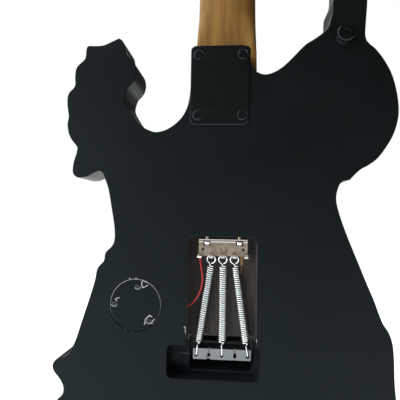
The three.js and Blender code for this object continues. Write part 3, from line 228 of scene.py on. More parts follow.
def add_node(tree, kind, settings=None, links=None):
    """Adds one node. Settings fill its properties, sockets or colour stops, and links join its sockets."""
    node = tree.nodes.new("ShaderNode" + kind)
    for key, value in (settings or {}).items():
        if key == "stops":
            for stop, (place, code) in zip(node.color_ramp.elements, value):
                stop.position, stop.color = place, colour(code)
        elif isinstance(key, str) and hasattr(node, key):
            setattr(node, key, value)
        else:
            node.inputs[key].default_value = value
    join(tree, node, links or {})
    return node


def start_material(name, **sockets):
    """A material with constant values on its shader's own sockets, its node tree and its place in space."""
    material = bpy.data.materials.new(name)
    material.use_nodes = True
    shader = material.node_tree.nodes["Principled BSDF"]
    for key, value in sockets.items():
        shader.inputs[key.replace("_", " ")].default_value = value
    space = add_node(material.node_tree, "TexCoord")
    return material, material.node_tree, shader, space.outputs["Object"]


def mottle(tree, shader, space, grain, shades, rough=None, bump=None, stops=(0, 1), **noise):
    """One noise pattern that varies the colour, the roughness and, with a bump, the relief of a surface.
    The grain is in millimetres, one size or one per axis. A bump is a strength and a height in millimetres."""
    scale = 1.0
    if isinstance(grain, tuple):
        space = add_node(tree, "Mapping", {"Scale": [1 / (size * MM) for size in grain]}, {"Vector": space})
    else:
        scale = 1 / (grain * MM)
    pattern = add_node(tree, "TexNoise", {"Scale": scale, **noise}, {"Vector": space})
    tone = add_node(tree, "ValToRGB", {"stops": zip(stops, shades)}, {"Fac": pattern})
    join(tree, shader, {"Base Color": tone})
    if rough:
        sheen = add_node(tree, "MapRange", {"To Min": rough[0], "To Max": rough[1]}, {"Value": pattern})
        join(tree, shader, {"Roughness": sheen})
    if bump:
        relief = add_node(tree, "Bump", {"Strength": bump[0], "Distance": bump[1] * MM}, {"Height": pattern})
        join(tree, shader, {"Normal": relief})
    return pattern, tone


def set_on(piece, body, material, slot, *nodes):
    """Gives a piece its finish, sets it on its body and hides the nodes that it stands for."""
    if material:
        piece.data.materials.clear()
        piece.data.materials.append(material)
    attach(piece, body)
    if nodes:
        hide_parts(*nodes)
    return piece


def drawn_lines(tree, space, paths, width):
    """A mask of lines, drawn in X and Z on a flat back, about so wide and with frayed edges; it draws scraped lines
    and also painted highlights.
    """
    flat = add_node(tree, "VectorMath", {"operation": "MULTIPLY", 1: (1, 0, 1)}, {0: space})
    least = None
    for path in paths:
        for (x0, z0), (x1, z1) in zip(path, path[1:]):
            start, along = Vector((x0, 0, z0)) * MM, Vector((x1 - x0, 0, z1 - z0)) * MM
            past = add_node(tree, "VectorMath", {"operation": "SUBTRACT", 1: start}, {0: flat})
            share = add_node(tree, "VectorMath", {"operation": "DOT_PRODUCT", 1: along / along.length_squared},
                             {0: past})
            held = add_node(tree, "Clamp", {}, {"Value": share})
            foot = add_node(tree, "VectorMath", {"operation": "SCALE", 0: along}, {"Scale": held})
            gap = add_node(tree, "VectorMath", {"operation": "DISTANCE"}, {0: past, 1: foot})
            least = gap if least is None else add_node(tree, "Math", {"operation": "MINIMUM"}, {0: least, 1: gap})
    fray = add_node(tree, "TexNoise", {"Scale": 1 / (0.9 * MM), "Detail": 3.0}, {"Vector": space})
    reach = add_node(tree, "Math", {"operation": "MULTIPLY_ADD", 1: 2.2 * width * MM, 2: -0.6 * width * MM},
                     {0: fray})
    return add_node(tree, "Math", {"operation": "LESS_THAN"}, {0: least, 1: reach})


def either_mask(tree, joined, *masks):
    """Where any of the masks shows."""
    for mask in masks:
        joined = add_node(tree, "Math", {"operation": "MAXIMUM"}, {0: joined, 1: mask})
    return joined


# Polyurethane lacquer, sprayed: near black with a faint blue-green cast, satin, with a soft orange-peel
# ripple about 2 mm across and cloudier where hands have rubbed it.
satin_lacquer, tree, shader, space = start_material(
    "satin black polyurethane lacquer", IOR=1.5, Specular_IOR_Level=0.17, Specular_Tint=colour("#bfe2e8"))
tint = mottle(tree, shader, space, 60, ("#090a0b", "#0e1112"), (0.42, 0.56), stops=(0.3, 0.7), Detail=4.0)[1]
peel = add_node(tree, "TexNoise", {"Scale": 1 / (2 * MM), "Detail": 1.0}, {"Vector": space})
ripple = add_node(tree, "Bump", {"Strength": 0.12, "Distance": 0.05 * MM}, {"Height": peel})
# Chips are raw wood under the lacquer, on the back only: beside the cavity, on the pocket's lower edge and round
# the cover.
COVER, RECESS, CHIP_DEPTH = (74.2, -108.0), 22.5, 12
rim_spots = [[on_circle(COVER, RECESS + 0.1, turn + side) for side in (-1.2, 1.2)] for turn in (90, 77)]
broad_chips = drawn_lines(tree, space, [
    [(31.5, -125.2), (30.4, -127.0), (30.5, -130.0)], [(-28.9, -133.3), (-29.1, -134.9)]] + rim_spots, 1.1)
thin_chips = drawn_lines(tree, space, [
    [(-29.1, -134.9), (-28.2, -140.8)], [(9.0, -168.6), (8.2, -168.7)], [(5.4, -168.7), (4.9, -168.7)],
    [(2.2, -168.7), (1.6, -168.7)], [(82.8, -129.0), (82.3, -129.2)], [(77.0, -130.4), (76.4, -130.5)]], 0.4)
where = add_node(tree, "SeparateXYZ", {}, {"Vector": space})
near_back = add_node(tree, "Math", {"operation": "GREATER_THAN", 1: -CHIP_DEPTH * MM}, {0: where.outputs["Y"]})
chipped = add_node(tree, "Math", {"operation": "MULTIPLY"},
                   {0: either_mask(tree, broad_chips, thin_chips), 1: near_back})
show_wood = add_node(tree, "Mix", {"data_type": "RGBA", "B": colour("#c3c8c8")}, {"Factor": chipped, "A": tint})
join(tree, shader, {"Base Color": show_wood, "Normal": ripple})

# Thin black paint, brushed into the cavity: dull, streaky and brownish where the wood shows through, scraped
# bare in one streak, and lost under the pocket's enamel at the lower end.
brushed_paint, tree, shader, space = start_material("brushed black cavity paint", Specular_IOR_Level=0.3)
streaks, thin = mottle(tree, shader, space, (2.5, 6, 28), ("#2c2b2b", "#5a544e"), bump=(0.35, 0.15),
                       stops=(0.36, 0.8), Detail=5.0, Roughness=0.65)
scrape = drawn_lines(tree, space, [[(-16.0, -67.0), (-16.2, -73.0)]], 2.4)
scrape_end = drawn_lines(tree, space, [[(-16.2, -73.0), (-15.6, -81.0)]], 0.9)
show_tan = add_node(tree, "Mix", {"data_type": "RGBA", "B": colour("#b39468")},
                    {"Factor": either_mask(tree, scrape, scrape_end), "A": thin})
height = add_node(tree, "SeparateXYZ", {}, {"Vector": space})
wander = add_node(tree, "TexNoise", {"Scale": 1 / (12 * MM), "Detail": 3.0}, {"Vector": space})
SHORE_Z, SHORE_WANDER = -135.7, 9  # where the pocket's enamel begins, and how far its edge strays
shore = add_node(tree, "Math", {"operation": "MULTIPLY_ADD", 1: SHORE_WANDER * MM,
                                2: -(SHORE_Z + SHORE_WANDER / 2) * MM}, {0: wander})
under = add_node(tree, "Math", {"operation": "ADD"}, {0: height.outputs["Z"], 1: shore})
enamelled = add_node(tree, "Math", {"operation": "LESS_THAN", 1: 0.0}, {0: under})
show_black = add_node(tree, "Mix", {"data_type": "RGBA", "B": colour("#08090a")},
                      {"Factor": enamelled, "A": show_tan})
dull = add_node(tree, "MapRange", {"To Min": 0.6, "To Max": 0.85}, {"Value": streaks})
glossed = add_node(tree, "Math", {"operation": "MULTIPLY_ADD", 1: -0.5}, {0: enamelled, 2: dull})
join(tree, shader, {"Base Color": show_black, "Roughness": glossed})

# Gloss black enamel, poured in the block's pocket: deep black with a wet shine, a slow wave and one painted
# highlight, a pale curved line at the treble side.
gloss_enamel, tree, shader, space = start_material("gloss black enamel", Specular_IOR_Level=0.04)
depth = mottle(tree, shader, space, 9, ("#1b2227", "#273036"), (0.12, 0.3), (0.4, 0.4), Detail=2.0)[1]
# A painted highlight: a pale curved line where the ledge of the pocket catches the light.
pocket_highlight = drawn_lines(tree, space, [[(37.9, -153.4), (34.6, -152.9), (31.0, -153.3), (28.3, -154.2)]], 0.3)
show_highlight = add_node(tree, "Mix", {"data_type": "RGBA", "B": colour("#a3acaf")}, {"Factor": pocket_highlight, "A": depth})
join(tree, shader, {"Base Color": show_highlight})

outline = [(x * HALF_WIDTH, z * LENGTH) for run in (TREBLE_BAY, TREBLE_HORN, TREBLE_FLANK, TAIL, BASS_FLANK,
                                                    BASS_LOBE, BASS_HORN) for x, z in smooth_run(run)]
body_low, body_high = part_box("guitar_body")
corner = [(HEEL_CORNER * (1 - math.cos(turn)), HEEL_TOP - HEEL_CORNER * (1 - math.sin(turn)))
          for turn in (math.radians(15 * k) for k in range(7))]
outline += [(HEEL_BASS + x, z) for x, z in corner] + [(HEEL_TREBLE - x, z) for x, z in reversed(corner[1:])]
outline = [(min(max(x, body_low.x / MM), body_high.x / MM), min(max(z, body_low.z / MM), body_high.z / MM))
           for x, z in outline]
body = slab("body_slab", outline, -THICKNESS, 0)
body.data.materials.append(satin_lacquer)
soften(body, 2.4, steps=4, over=60)


def cutter(outline, y0, y1, material=None):
    """A slab to cut with, and the finish that its cut leaves."""
    tool = slab("cutter", outline, y0, y1)
    if material:
        tool.data.materials.append(material)
    return tool


PAST = 5  # how far a cutter reaches beyond the face that it opens
FRONT = -THICKNESS - PAST
JACK_X, JACK_Y, WIRE_Y, WIRE_Z, STUD_X, STUD_Z = 55, -21, -8, -108.7, 37, -136.5
NECK_POCKET = [(-29.6, 38.2), (29.6, 38.2), (28.2, 121), (-28.2, 121)]
cut(body,
    cutter(NECK_POCKET, FRONT, -26, brushed_paint),
    cutter(rounded(-28.8, 30.2, -150, -48.5, 6), -16, PAST, brushed_paint),  # the spring cavity
    cutter(rounded(-27.3, 28.7, -166.5, -136, 3), FRONT, -PAST, gloss_enamel),  # the block's slot
    cutter(rounded(-32.6, 46.4, -168.6, -140.5, 5), -20, PAST, gloss_enamel),  # its pocket, longer to the treble
    cutter(rounded(-36.5, 36.5, -123, -83, 2), FRONT, -23, brushed_paint),  # the pickup's well
    cutter(rounded(-43.5, 43.5, -109, -97, 2), FRONT, -23.1, brushed_paint),  # and the room for its ears
    cutter(circle(*COVER, RECESS), -2, PAST, satin_lacquer),
    cutter(circle(*COVER, 19.8), -36, PAST, brushed_paint),  # the control cavity
    cutter(circle(*COVER, 3.9, 32), FRONT, 0, satin_lacquer),  # the pot's hole
    *(cutter(circle(x, STUD_Z, 4.1, 32), FRONT, -21.7, satin_lacquer) for x in (STUD_X, -STUD_X)))
bore = cutter(circle(0, 0, 10.1), -287, -236, brushed_paint)
bore.data.transform(shift(JACK_X, JACK_Y, 0) @ Matrix.Rotation(math.pi / 2, 4, "X"))
cut(body, bore)
wire_hole = cutter(circle(0, 0, 1.8, 24), 20, 60, brushed_paint)
wire_hole.data.transform(shift(0, WIRE_Y, WIRE_Z) @ Matrix.Rotation(-math.pi / 2, 4, "Z"))
cut(body, wire_hole)
soften(body, 0.6, steps=3, over=50, clamp=False)
set_on(body, "guitar", None, "black_finished_wood", "guitar_body")


# NECK. One piece of maple, bandsawn and rolled to shape: a square heel that is screwed into the body, a
# ramp, a rounded shaft and a headstock tilted back by 12 degrees, all under an amber satin lacquer.
def copy_of(node, name):
    """A free copy of a CAD node, its doubled points merged and its flat faces joined."""
    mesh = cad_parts[node].data.copy()
    mesh.materials.clear()
    piece = add_piece(name, mesh)
    edit(piece, bpy.ops.mesh.customdata_custom_splitnormals_clear)
    edit(piece, bpy.ops.mesh.remove_doubles, threshold=0.002 * MM)
    return edit(piece, bpy.ops.mesh.dissolve_limited, angle_limit=math.radians(0.5))


# Maple under amber lacquer: straight, fine grain along the neck with darker flecks, warmer in bands.
amber_maple, tree, shader, space = start_material("amber lacquered maple", IOR=1.5, Specular_IOR_Level=0.25)
fibres, warm = mottle(tree, shader, space, (1.4, 3, 70), ("#6d4a22", "#ad8346"), (0.34, 0.48), (0.15, 0.05),
                      stops=(0.5, 1.0), Detail=6.0, Roughness=0.62, Distortion=0.3)
wide = add_node(tree, "Mapping", {"Scale": [1 / (size * MM) for size in (14, 14, 160)]}, {"Vector": space})
bands = add_node(tree, "TexNoise", {"Scale": 1.0, "Detail": 2.0}, {"Vector": wide})
both = add_node(tree, "Math", {"operation": "MULTIPLY_ADD", 1: 0.55}, {0: fibres, 2: bands})
join(tree, warm, {"Fac": both})
neck = soften(copy_of("neck", "neck_blank"), 0.5, over=48)
set_on(neck, "guitar", amber_maple, "maple", "neck")


# FINGERBOARD. Rosewood, planed to a 350 mm crown and glued to the neck, with 22 nickel-silver frets pressed
# into sawn slots and round pearl dots let in between them.
GLUE_Y, BOARD_TOP, NUT_Z, SADDLE_Z = -45.3, -51.4, 502, -146
SCALE, CROWN, HEEL_WIDTH, NUT_WIDTH, HEEL_Z = NUT_Z - SADDLE_Z, 350, 58.5, 43, 38.5


def half_width(z):
    """Half the neck's width at a place along it."""
    return (NUT_WIDTH + (HEEL_WIDTH - NUT_WIDTH) * (NUT_Z - z) / (NUT_Z - HEEL_Z)) / 2


def sag(x):
    """How far the crowned front lies behind its middle at X."""
    return CROWN - math.sqrt(CROWN ** 2 - x ** 2)


def crown_strip(name, z0, z1, inset, back, front, columns=12):
    """A strip across the neck whose front is crowned, from z0 to z1."""
    rows = []
    for z in (z0, z1):
        half = half_width(z) - inset
        xs = [half * (2 * k / columns - 1) for k in range(columns + 1)]
        rows.append([(x, front + sag(x), z) for x in xs] + [(half, back, z), (-half, back, z)])
    count = len(rows[0])
    faces = [tuple(range(count)), tuple(reversed(range(count, 2 * count)))]
    faces += [(i, i + count, (i + 1) % count + count, (i + 1) % count) for i in range(count)]
    mesh = bpy.data.meshes.new(name)
    mesh.from_pydata([Vector(p) * MM for row in rows for p in row], [], faces)
    return outward(add_piece(name, mesh))


# Rosewood, oiled: dark red-brown with black pores about 5 mm long that run with the neck.
rosewood, tree, shader, space = start_material("oiled rosewood", Specular_IOR_Level=0.3)
mottle(tree, shader, space, (0.9, 2, 14), ("#1c110c", "#4f3022"), (0.45, 0.7), (0.4, 0.1), stops=(0.35, 0.75),
       Detail=5.0, Roughness=0.7)
board = soften(crown_strip("fingerboard", 27.5, NUT_Z - 0.1, 0, GLUE_Y - 0.1, BOARD_TOP), 0.4, over=50)

# Nickel silver, drawn and polished by the strings: pale, faintly warm, with fine lengthwise rubbing.
nickel_silver, tree, shader, space = start_material("nickel silver fret wire", Metallic=1.0)
mottle(tree, shader, space, (8, 0.5, 0.5), ("#a9a59b", "#cfccc4"), (0.18, 0.34), Detail=3.0)
for number in range(1, 23):
    z = SADDLE_Z + SCALE / 2 ** (number / 12)
    wire = crown_strip(f"fret_{number}", z - 1.2, z + 1.2, 0.4, BOARD_TOP + 1.2, BOARD_TOP - 1.1)
    set_on(soften(wire, 0.7, steps=3, over=50), "guitar", nickel_silver, "rosewood", "fretboard")
set_on(board, "guitar", rosewood, "rosewood", "fretboard")

# Mother-of-pearl, cut in rounds of 6 mm: milky, with a slow shift of tone across each dot.
pearl, tree, shader, space = start_material("mother of pearl", Coat_Weight=0.4, Coat_Roughness=0.15)
mottle(tree, shader, space, 4, ("#c9ccc8", "#ece7da"), (0.25, 0.4), Detail=2.0, Distortion=1.5)
for fret in (3, 5, 7, 9, 12, 15, 17, 19, 21):
    z = SADDLE_Z + SCALE * (2 ** (-fret / 12) + 2 ** (-(fret - 1) / 12)) / 2
    for x in (-9, 9) if fret == 12 else (0,):
        dot = slab(f"dot_{fret}_{'treble' if x > 0 else 'bass' if x < 0 else 'middle'}", circle(x, z, 3, 32),
                   BOARD_TOP - 0.03 + sag(x), BOARD_TOP + 1.5)
        set_on(soften(dot), "guitar", pearl, "rosewood")


# NECK PLATE AND SCREWS. A pressed steel plate, 1.6 mm thick, spreads the load of four countersunk wood
# screws with cross recesses that pull the neck into its pocket. All of it is plated black.
BACKWARD = Matrix.Rotation(-math.pi / 2, 4, "X")  # a turned piece's axis along +Y, out of the back
DOWNWARD = Matrix.Rotation(math.pi, 4, "X")  # along -Z, out of the tail


def turned(name, profile, place=(0, 0, 0), turn=BACKWARD, sides=48):
    """A solid of revolution: a round face pulled up through (radius, height) steps, in millimetres."""
    bpy.ops.object.select_all(action="DESELECT")
    radius, low = profile[0]
    bpy.ops.mesh.primitive_circle_add(vertices=sides, radius=radius * MM, fill_type="NGON",
                                      location=(0, 0, low * MM))
    piece = bpy.context.object
    piece.name = name
    bpy.ops.object.transform_apply(location=True, rotation=True, scale=True)
    bpy.ops.object.mode_set(mode="EDIT")
    bpy.ops.mesh.select_all(action="SELECT")
    for step_radius, height in profile[1:]:
        bpy.ops.mesh.extrude_region_move(TRANSFORM_OT_translate={"value": (0, 0, (height - low) * MM)})
        share = step_radius / radius
        bpy.ops.transform.resize(value=(share, share, 1), center_override=(0, 0, height * MM))
        radius, low = step_radius, height
    bpy.ops.object.mode_set(mode="OBJECT")
    outward(piece)
    piece.data.transform(Matrix.Translation(Vector(place) * MM) @ turn)
    return piece


def brick(name, low, high):
    """A block between two corners in millimetres."""
    bpy.ops.object.select_all(action="DESELECT")
    middle = [(a + b) / 2 * MM for a, b in zip(low, high)]
    bpy.ops.mesh.primitive_cube_add(size=1, location=middle)
    piece = bpy.context.object
    piece.name = name
    piece.scale = [(b - a) * MM for a, b in zip(low, high)]
    bpy.ops.object.transform_apply(location=True, rotation=True, scale=True)
    return piece


def cross_recess(piece, x, z, y, arm, width, depth, turn=0.0):
    """Cuts the driver's cross into a screw that faces +Y."""
    for long, short in ((arm, width / 2), (width / 2, arm)):
        bar = brick("cutter", (-long, y - depth, -short), (long, y + PAST, short))
        bar.data.transform(shift(x, 0, z) @ Matrix.Rotation(turn, 4, "Y"))
        cut(piece, bar)


# Black plating over steel: a dark, slightly blue metal film, satin from the pressing, with light rub marks.
black_plate, tree, shader, space = start_material(
    "black plated steel", IOR=1.5, Specular_IOR_Level=0.5, Specular_Tint=colour("#d2e6ea"))
mottle(tree, shader, space, 7, ("#060708", "#0d0f10"), (0.18, 0.3), Detail=5.0, Roughness=0.6)


def set_plated(piece, body, *nodes):
    """Sets a piece on its body in black plating."""
    return set_on(piece, body, black_plate, "black_plated_steel", *nodes)


PLATE_X, PLATE_Z, PLATE_TOP = 4.4, 81.6, 1.7
plate = slab("neck_plate_pressing", rounded(PLATE_X - 25.2, PLATE_X + 25.2, PLATE_Z - 34.4, PLATE_Z + 34.4, 5),
             0.1, PLATE_TOP)
soften(plate, 0.5, steps=3, over=60)
screw_places = [(PLATE_X + sx * 19.1, PLATE_Z + sz * 26.3) for sz in (1, -1) for sx in (1, -1)]
for x, z in screw_places:
    cut(plate, turned("cutter", [(2.4, -1), (2.4, 0), (4.5, 1.4), (4.7, 1.75), (4.7, 4)], (x, 0, z)))
set_plated(soften(plate, over=30), "guitar", "neck_plate")
for number, (x, z) in enumerate(screw_places, 1):
    screw = turned(f"neck_screw_{number}_turned", [
        (0.05, -39.9), (2.1, -36.9), (2.1, 0), (4.2, 1.3), (4.1, 1.45), (3.4, 1.62), (2.4, PLATE_TOP)], (x, 0, z))
    cross_recess(screw, x, z, PLATE_TOP, 2.3, 0.8, 1.3, turn=0.5 + 0.7 * number)
    set_plated(soften(screw, 0.12, over=40), "guitar", f"neck_screw_{number}")


# STRAP BUTTONS. Turned steel buttons with a broad foot, a waist for the strap's hole and a round flange,
# each held by a wood screw: one at the root of the bass horn, one in the middle of the tail.
button_profile = [(0.05, -22), (2.2, -19.8), (2.2, 0.1), (5.9, 0.1), (6.1, 0.5), (5.9, 1.5), (5.0, 2.9), (4.3, 4.2),
                  (4.0, 5.4), (4.0, 7.6), (4.5, 8.9), (5.8, 10.0), (6.8, 10.5), (7.0, 10.9), (7.0, 11.9), (6.7, 12.6),
                  (6.3, 13.0), (3.7, 13.0), (3.5, 12.7), (3.5, 11.9)]
for name, place, turn in (("upper", (-98.6, 0, 120.5), BACKWARD), ("lower", (0, -21, -262), DOWNWARD)):
    button = turned(f"{name}_strap_button_turned", button_profile)
    cross_recess(button, 0, 0, 11.9, 2.2, 0.7, 1.2, turn=0.4)
    button.data.transform(Matrix.Translation(Vector(place) * MM) @ turn @ BACKWARD.inverted())
    set_plated(soften(button, over=50), "guitar", f"{name}_strap_button")


# SPRING CLAW AND ITS SCREWS. A steel plate, stamped with five hooks and folded over at the top, nickel plated
# and gone warm with age. Two long wood screws pull it towards the neck against the springs.
AGED = {"bump": (0.2, 0.1), "stops": (0.3, 0.72), "Detail": 6.0, "Roughness": 0.65}
old_nickel, tree, shader, space = start_material("tarnished nickel plate", Metallic=1.0)
mottle(tree, shader, space, 5, ("#7d7161", "#b9ad9d"), (0.42, 0.26), **AGED)

# The claw's own plating is the same, with painted highlights: two pale bands on the fold and one at the hooks' tips,
# where the light catches them.
claw_nickel, tree, shader, space = start_material("nickel plate with painted highlights", Metallic=1.0)
aged = mottle(tree, shader, space, 5, ("#6a6054", "#988f82"), (0.42, 0.3), **AGED)[1]
rise = add_node(tree, "SeparateXYZ", {}, {"Vector": space})
# Painted highlights: pale bands across the claw at the heights of the fold and of the hooks' tips.
bands = [add_node(tree, "Math", {"operation": "COMPARE", 1: middle * MM, 2: reach * MM}, {0: rise.outputs["Z"]})
         for middle, reach in ((-51.2, 0.5), (-53.3, 0.6), (-66.6, 1.1))]
painted_highlights = add_node(tree, "Mix", {"data_type": "RGBA", "B": colour("#c3c0bb")},
                  {"Factor": either_mask(tree, *bands), "A": aged})
join(tree, shader, {"Base Color": painted_highlights})
CLAW_FACE, SCREW_AXIS = -9, -12.3
claw = cut(copy_of("spring_claw", "claw_stamping"),
           cutter(rounded(-4.2, 3.8, -61.7, -57.7, 1.9), CLAW_FACE - 0.3, 0),
           cutter(circle(2.1, -59.6, 0.6, 20), CLAW_FACE - PAST, 0),
           cutter(circle(-2.9, -60.1, 0.6, 20), CLAW_FACE - PAST, 0),
           cutter([(-22, -52.5), (22, -52.5), (22, -51.9), (-22, -51.9)], CLAW_FACE - 0.4, 0))
set_on(soften(claw, 0.35, steps=3, over=40), "guitar", claw_nickel, "nickel_plate", "spring_claw")

# Bright drawn steel: the screws' heads, and later the springs, pale with a fine mottle.
spring_wire, tree, shader, space = start_material("bright drawn spring wire", Metallic=1.0)
mottle(tree, shader, space, 1.2, ("#c6cbcd", "#f2f5f6"), (0.18, 0.3), Detail=3.0)
for number, x in ((1, 14.2), (2, -14.2)):
    for part, finish, profile, sides in (
            ("shank", old_nickel, [(0.05, -19.2), (1.9, -21.5), (1.9, -52.5)], 24),
            ("head", spring_wire, [(2.1, -52.4), (3.5, -53.5), (3.5, -55.2), (3.1, -55.9), (2.0, -56.2)], 32)):
        piece = turned(f"claw_screw_{number}_{part}", profile, (x, SCREW_AXIS, 0), Matrix.Identity(4), sides)
        set_on(soften(piece, over=50), "guitar", finish, "nickel_plate", f"claw_screw_{number}")

# A blob of soft solder, run on with an iron, holds the ground wire to the treble hook.
solder = turned("solder_blob", [(0.3, -1.0), (1.2, -0.8), (1.6, -0.2), (1.5, 0.4), (0.9, 0.9), (0.3, 1.1)], sides=20)
solder.data.transform(Matrix.Diagonal((1.35, 0.75, 0.9, 1)))
edit(solder, bpy.ops.transform.vertex_random, offset=0.12 * MM, seed=4)
modify(solder, "SUBSURF", levels=2, render_levels=2)
solder.data.transform(shift(20.4, -5.9, -65.9))
set_on(soften(solder, over=80), "guitar", spring_wire, "plain_steel")


# TREMOLO SPRINGS. Three extension springs of 1.25 mm spring wire, close-wound in some 36 turns, with a flat
# ring that hooks on the claw and a straight leg hooked into a hole of the block.
def wire_along(name, points, radius, sides=4):
    """A round wire along points in millimetres, closed at its ends."""
    curve = bpy.data.curves.new(name, "CURVE")
    curve.dimensions = "3D"
    spline = curve.splines.new("POLY")
    spline.points.add(len(points) - 1)
    for point, place in zip(spline.points, points):
        point.co = (*(Vector(place) * MM), 1)
    curve.bevel_depth, curve.bevel_resolution, curve.use_fill_caps = radius * MM, sides, True
    add_piece(name, curve)
    bpy.ops.object.convert(target="MESH")
    piece = edit(bpy.context.object, bpy.ops.mesh.remove_doubles, threshold=0.001 * MM)
    outward(piece)
    bpy.ops.object.shade_smooth_by_angle(angle=math.radians(50))
    return piece


RING_Z, HOLE_Z, TURNS, TURN_STEPS, COIL, RING, AXIS_Y = -68.1, -152, 36, 20, 3.3, 3.5, -11.5
COIL_START, UNWIND, LEG = 5.9, 4.4, 8.6  # from the ring to the coil, and the coil's run-out and straight leg
RING_STEPS, UNWIND_STEPS = 36, 12
for number, (ring_x, hole_x) in enumerate(((10, 22.4), (0, 0), (-10, -22.4)), 1):
    run = Vector((hole_x - ring_x, HOLE_Z - RING_Z))
    length = run.length
    coil_length = length - COIL_START - UNWIND - LEG
    points = []
    for k in range(RING_STEPS + 1):  # the flat ring, its end nearly closed behind the lead to the coil
        turn = math.pi * (-0.97 + 1.87 * k / RING_STEPS)
        points.append((RING * math.sin(turn), -8.0, RING * math.cos(turn)))
    for k in range(TURNS * TURN_STEPS + 1):
        turn = 2 * math.pi * k / TURN_STEPS
        points.append((-COIL * math.sin(turn), AXIS_Y + COIL * math.cos(turn),
                       -(COIL_START + coil_length * k / (TURNS * TURN_STEPS))))
    for k in range(1, UNWIND_STEPS + 1):  # the last turn runs in to the leg
        share = k / UNWIND_STEPS
        turn, radius = 1.5 * math.pi * share, COIL * (1 - share)
        points.append((-radius * math.sin(turn), AXIS_Y + 0.7 * share + radius * math.cos(turn),
                       -(COIL_START + coil_length + UNWIND * share)))
    points += [(0, -10.8, -(length - 1.6)), (0, -10.95, -(length - 0.9)), (0, -11.4, -(length - 0.35)),
               (0, -12.2, -length), (0, -15.3, -length)]
    spring = wire_along(f"spring_{number}_wound", points, 0.625, sides=2)
    spring.data.transform(shift(ring_x, 0, RING_Z) @ Matrix.Rotation(math.atan2(-run.x, -run.y), 4, "Y"))
    spring.data.materials.append(spring_wire)
    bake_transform(spring)
    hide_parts(f"spring_{number}")


# GROUND WIRE. A stranded lead in a soft red sleeve, 1.6 mm across: soldered to the claw's treble hook, it
# bows down the cavity and goes through its wall to the volume pot.
red_sleeve, tree, shader, space = start_material("red wire insulation", Specular_IOR_Level=0.45)
mottle(tree, shader, space, 3, ("#a51a1f", "#cf2f33"), (0.35, 0.5), Detail=3.0)
WIRE_ROUTE = [
    (19.5, -6.9, -67.0), (19.4, -6.8, -70.8), (18.5, -6.5, -75.9), (17.4, -6.3, -82.0), (17.3, -6.3, -87.0),
    (18.5, -6.4, -93.2), (21.2, -6.9, -100.2), (25.4, -7.6, -106.0), (29.8, WIRE_Y, -108.6),
    (34.0, WIRE_Y, WIRE_Z), (52.0, WIRE_Y, WIRE_Z), (57.5, -9.6, -108.6), (62.0, -14.0, -108.4),
    (65.5, -20.0, -108.2), (69.5, -22.8, -108.0)]
lead = wire_along("ground_lead", smooth_run(WIRE_ROUTE) + WIRE_ROUTE[-1:], 0.78, sides=3)
set_on(lead, "guitar", red_sleeve, "red_insulation", "ground_wire")


# TREMOLO. A hardened steel base rocks on two studs by knife edges. A die-cast zinc block hangs from it
# through the body, and six cast saddles clamp the strings on top. All but the block is plated black.
set_plated(soften(copy_of("tremolo_plate", "tremolo_base"), 0.4, over=50), "tremolo", "tremolo_plate")

# Zinc, die cast and tumbled: mid grey, matt, faintly pitted.
cast_zinc, tree, shader, space = start_material("tumbled zinc casting", Metallic=1.0)
mottle(tree, shader, space, 0.8, ("#606668", "#808587"), (0.42, 0.6), (0.3, 0.05), Detail=4.0)
BLOCK_BACK, BLOCK_LOW, BLOCK_HIGH = -12, -155.3, -146.1
arch = [on_circle((11.6, -150.6), 1.5, 15 * k) for k in range(13)]
block = cut(copy_of("tremolo_block", "tremolo_casting"),
            cutter([(13.1, BLOCK_LOW - 1)] + arch + [(10.1, BLOCK_LOW - 1)], BLOCK_BACK - 2.4, 0),
            cutter(circle(-11.5, -150.8, 1.3, 28), BLOCK_BACK - 6, 0),
            cutter(rounded(-11.8, -11.2, BLOCK_LOW - 1, BLOCK_HIGH + 1, 0.2, 2), BLOCK_BACK - 0.9, 0))
set_on(soften(block, 0.3, over=40), "tremolo", cast_zinc, "cast_zinc", "tremolo_block")
for number in range(1, 7):
    saddle = copy_of(f"saddle_{number}", f"saddle_{number}_cast")
    set_plated(soften(saddle, 0.45, over=40), "tremolo", f"saddle_{number}")

for number, x in ((1, STUD_X), (2, -STUD_X)):
    stud = turned(f"pivot_stud_{number}_turned", [
        (3.8, -22), (3.8, -42.1), (5.6, -42.1), (5.6, -43.6), (5.0, -44.0), (3.2, -46.8), (5.0, -49.6), (5.0, -52.3),
        (4.6, -52.7)], (x, 0, STUD_Z), sides=40)
    cut(stud, turned("cutter", [(2.0, -60), (2.0, -51.1)], (x, 0, STUD_Z), sides=6))
    set_plated(soften(stud), "guitar", f"pivot_stud_{number}")

# The arm is bent from 5.7 mm rod, screwed into the base's bush with a knurled collar, with a plastic tip.
ARM_X, ARM_Z, BUSH_TOP = 38.4, -160, -57.4
arm_points = [(ARM_X, -47.8, ARM_Z), (ARM_X, -56, ARM_Z)] + [(ARM_X, BUSH_TOP - up, ARM_Z + along) for along, up in (
    (0, 8), (-1.4, 11.4), (-5, 13.8), (-12, 15.8), (-46, 20), (-100, 24), (-144.6, 25.9))]
tip_points = [(ARM_X, -82.55, -286.2), (ARM_X, -82.9, -296), (ARM_X, -83.25, -305.7)]
arm = wire_along("tremolo_arm_rod", smooth_run(arm_points, 8) + arm_points[-1:], 2.85, sides=6)
collar = turned("arm_collar", [(4.6, -57.5), (5.0, -57.8), (5.0, -61.8), (4.6, -62.1)], (ARM_X, 0, ARM_Z), sides=40)
tip = wire_along("arm_tip", smooth_run(tip_points, 4) + tip_points[-1:], 3.7, sides=6)
modify(tip, "BEVEL", width=1.2 * MM, segments=3, limit_method="ANGLE", angle_limit=math.radians(60))
set_plated(arm, "tremolo_arm", "tremolo_arm")
set_plated(soften(collar), "tremolo_arm", "tremolo_arm")


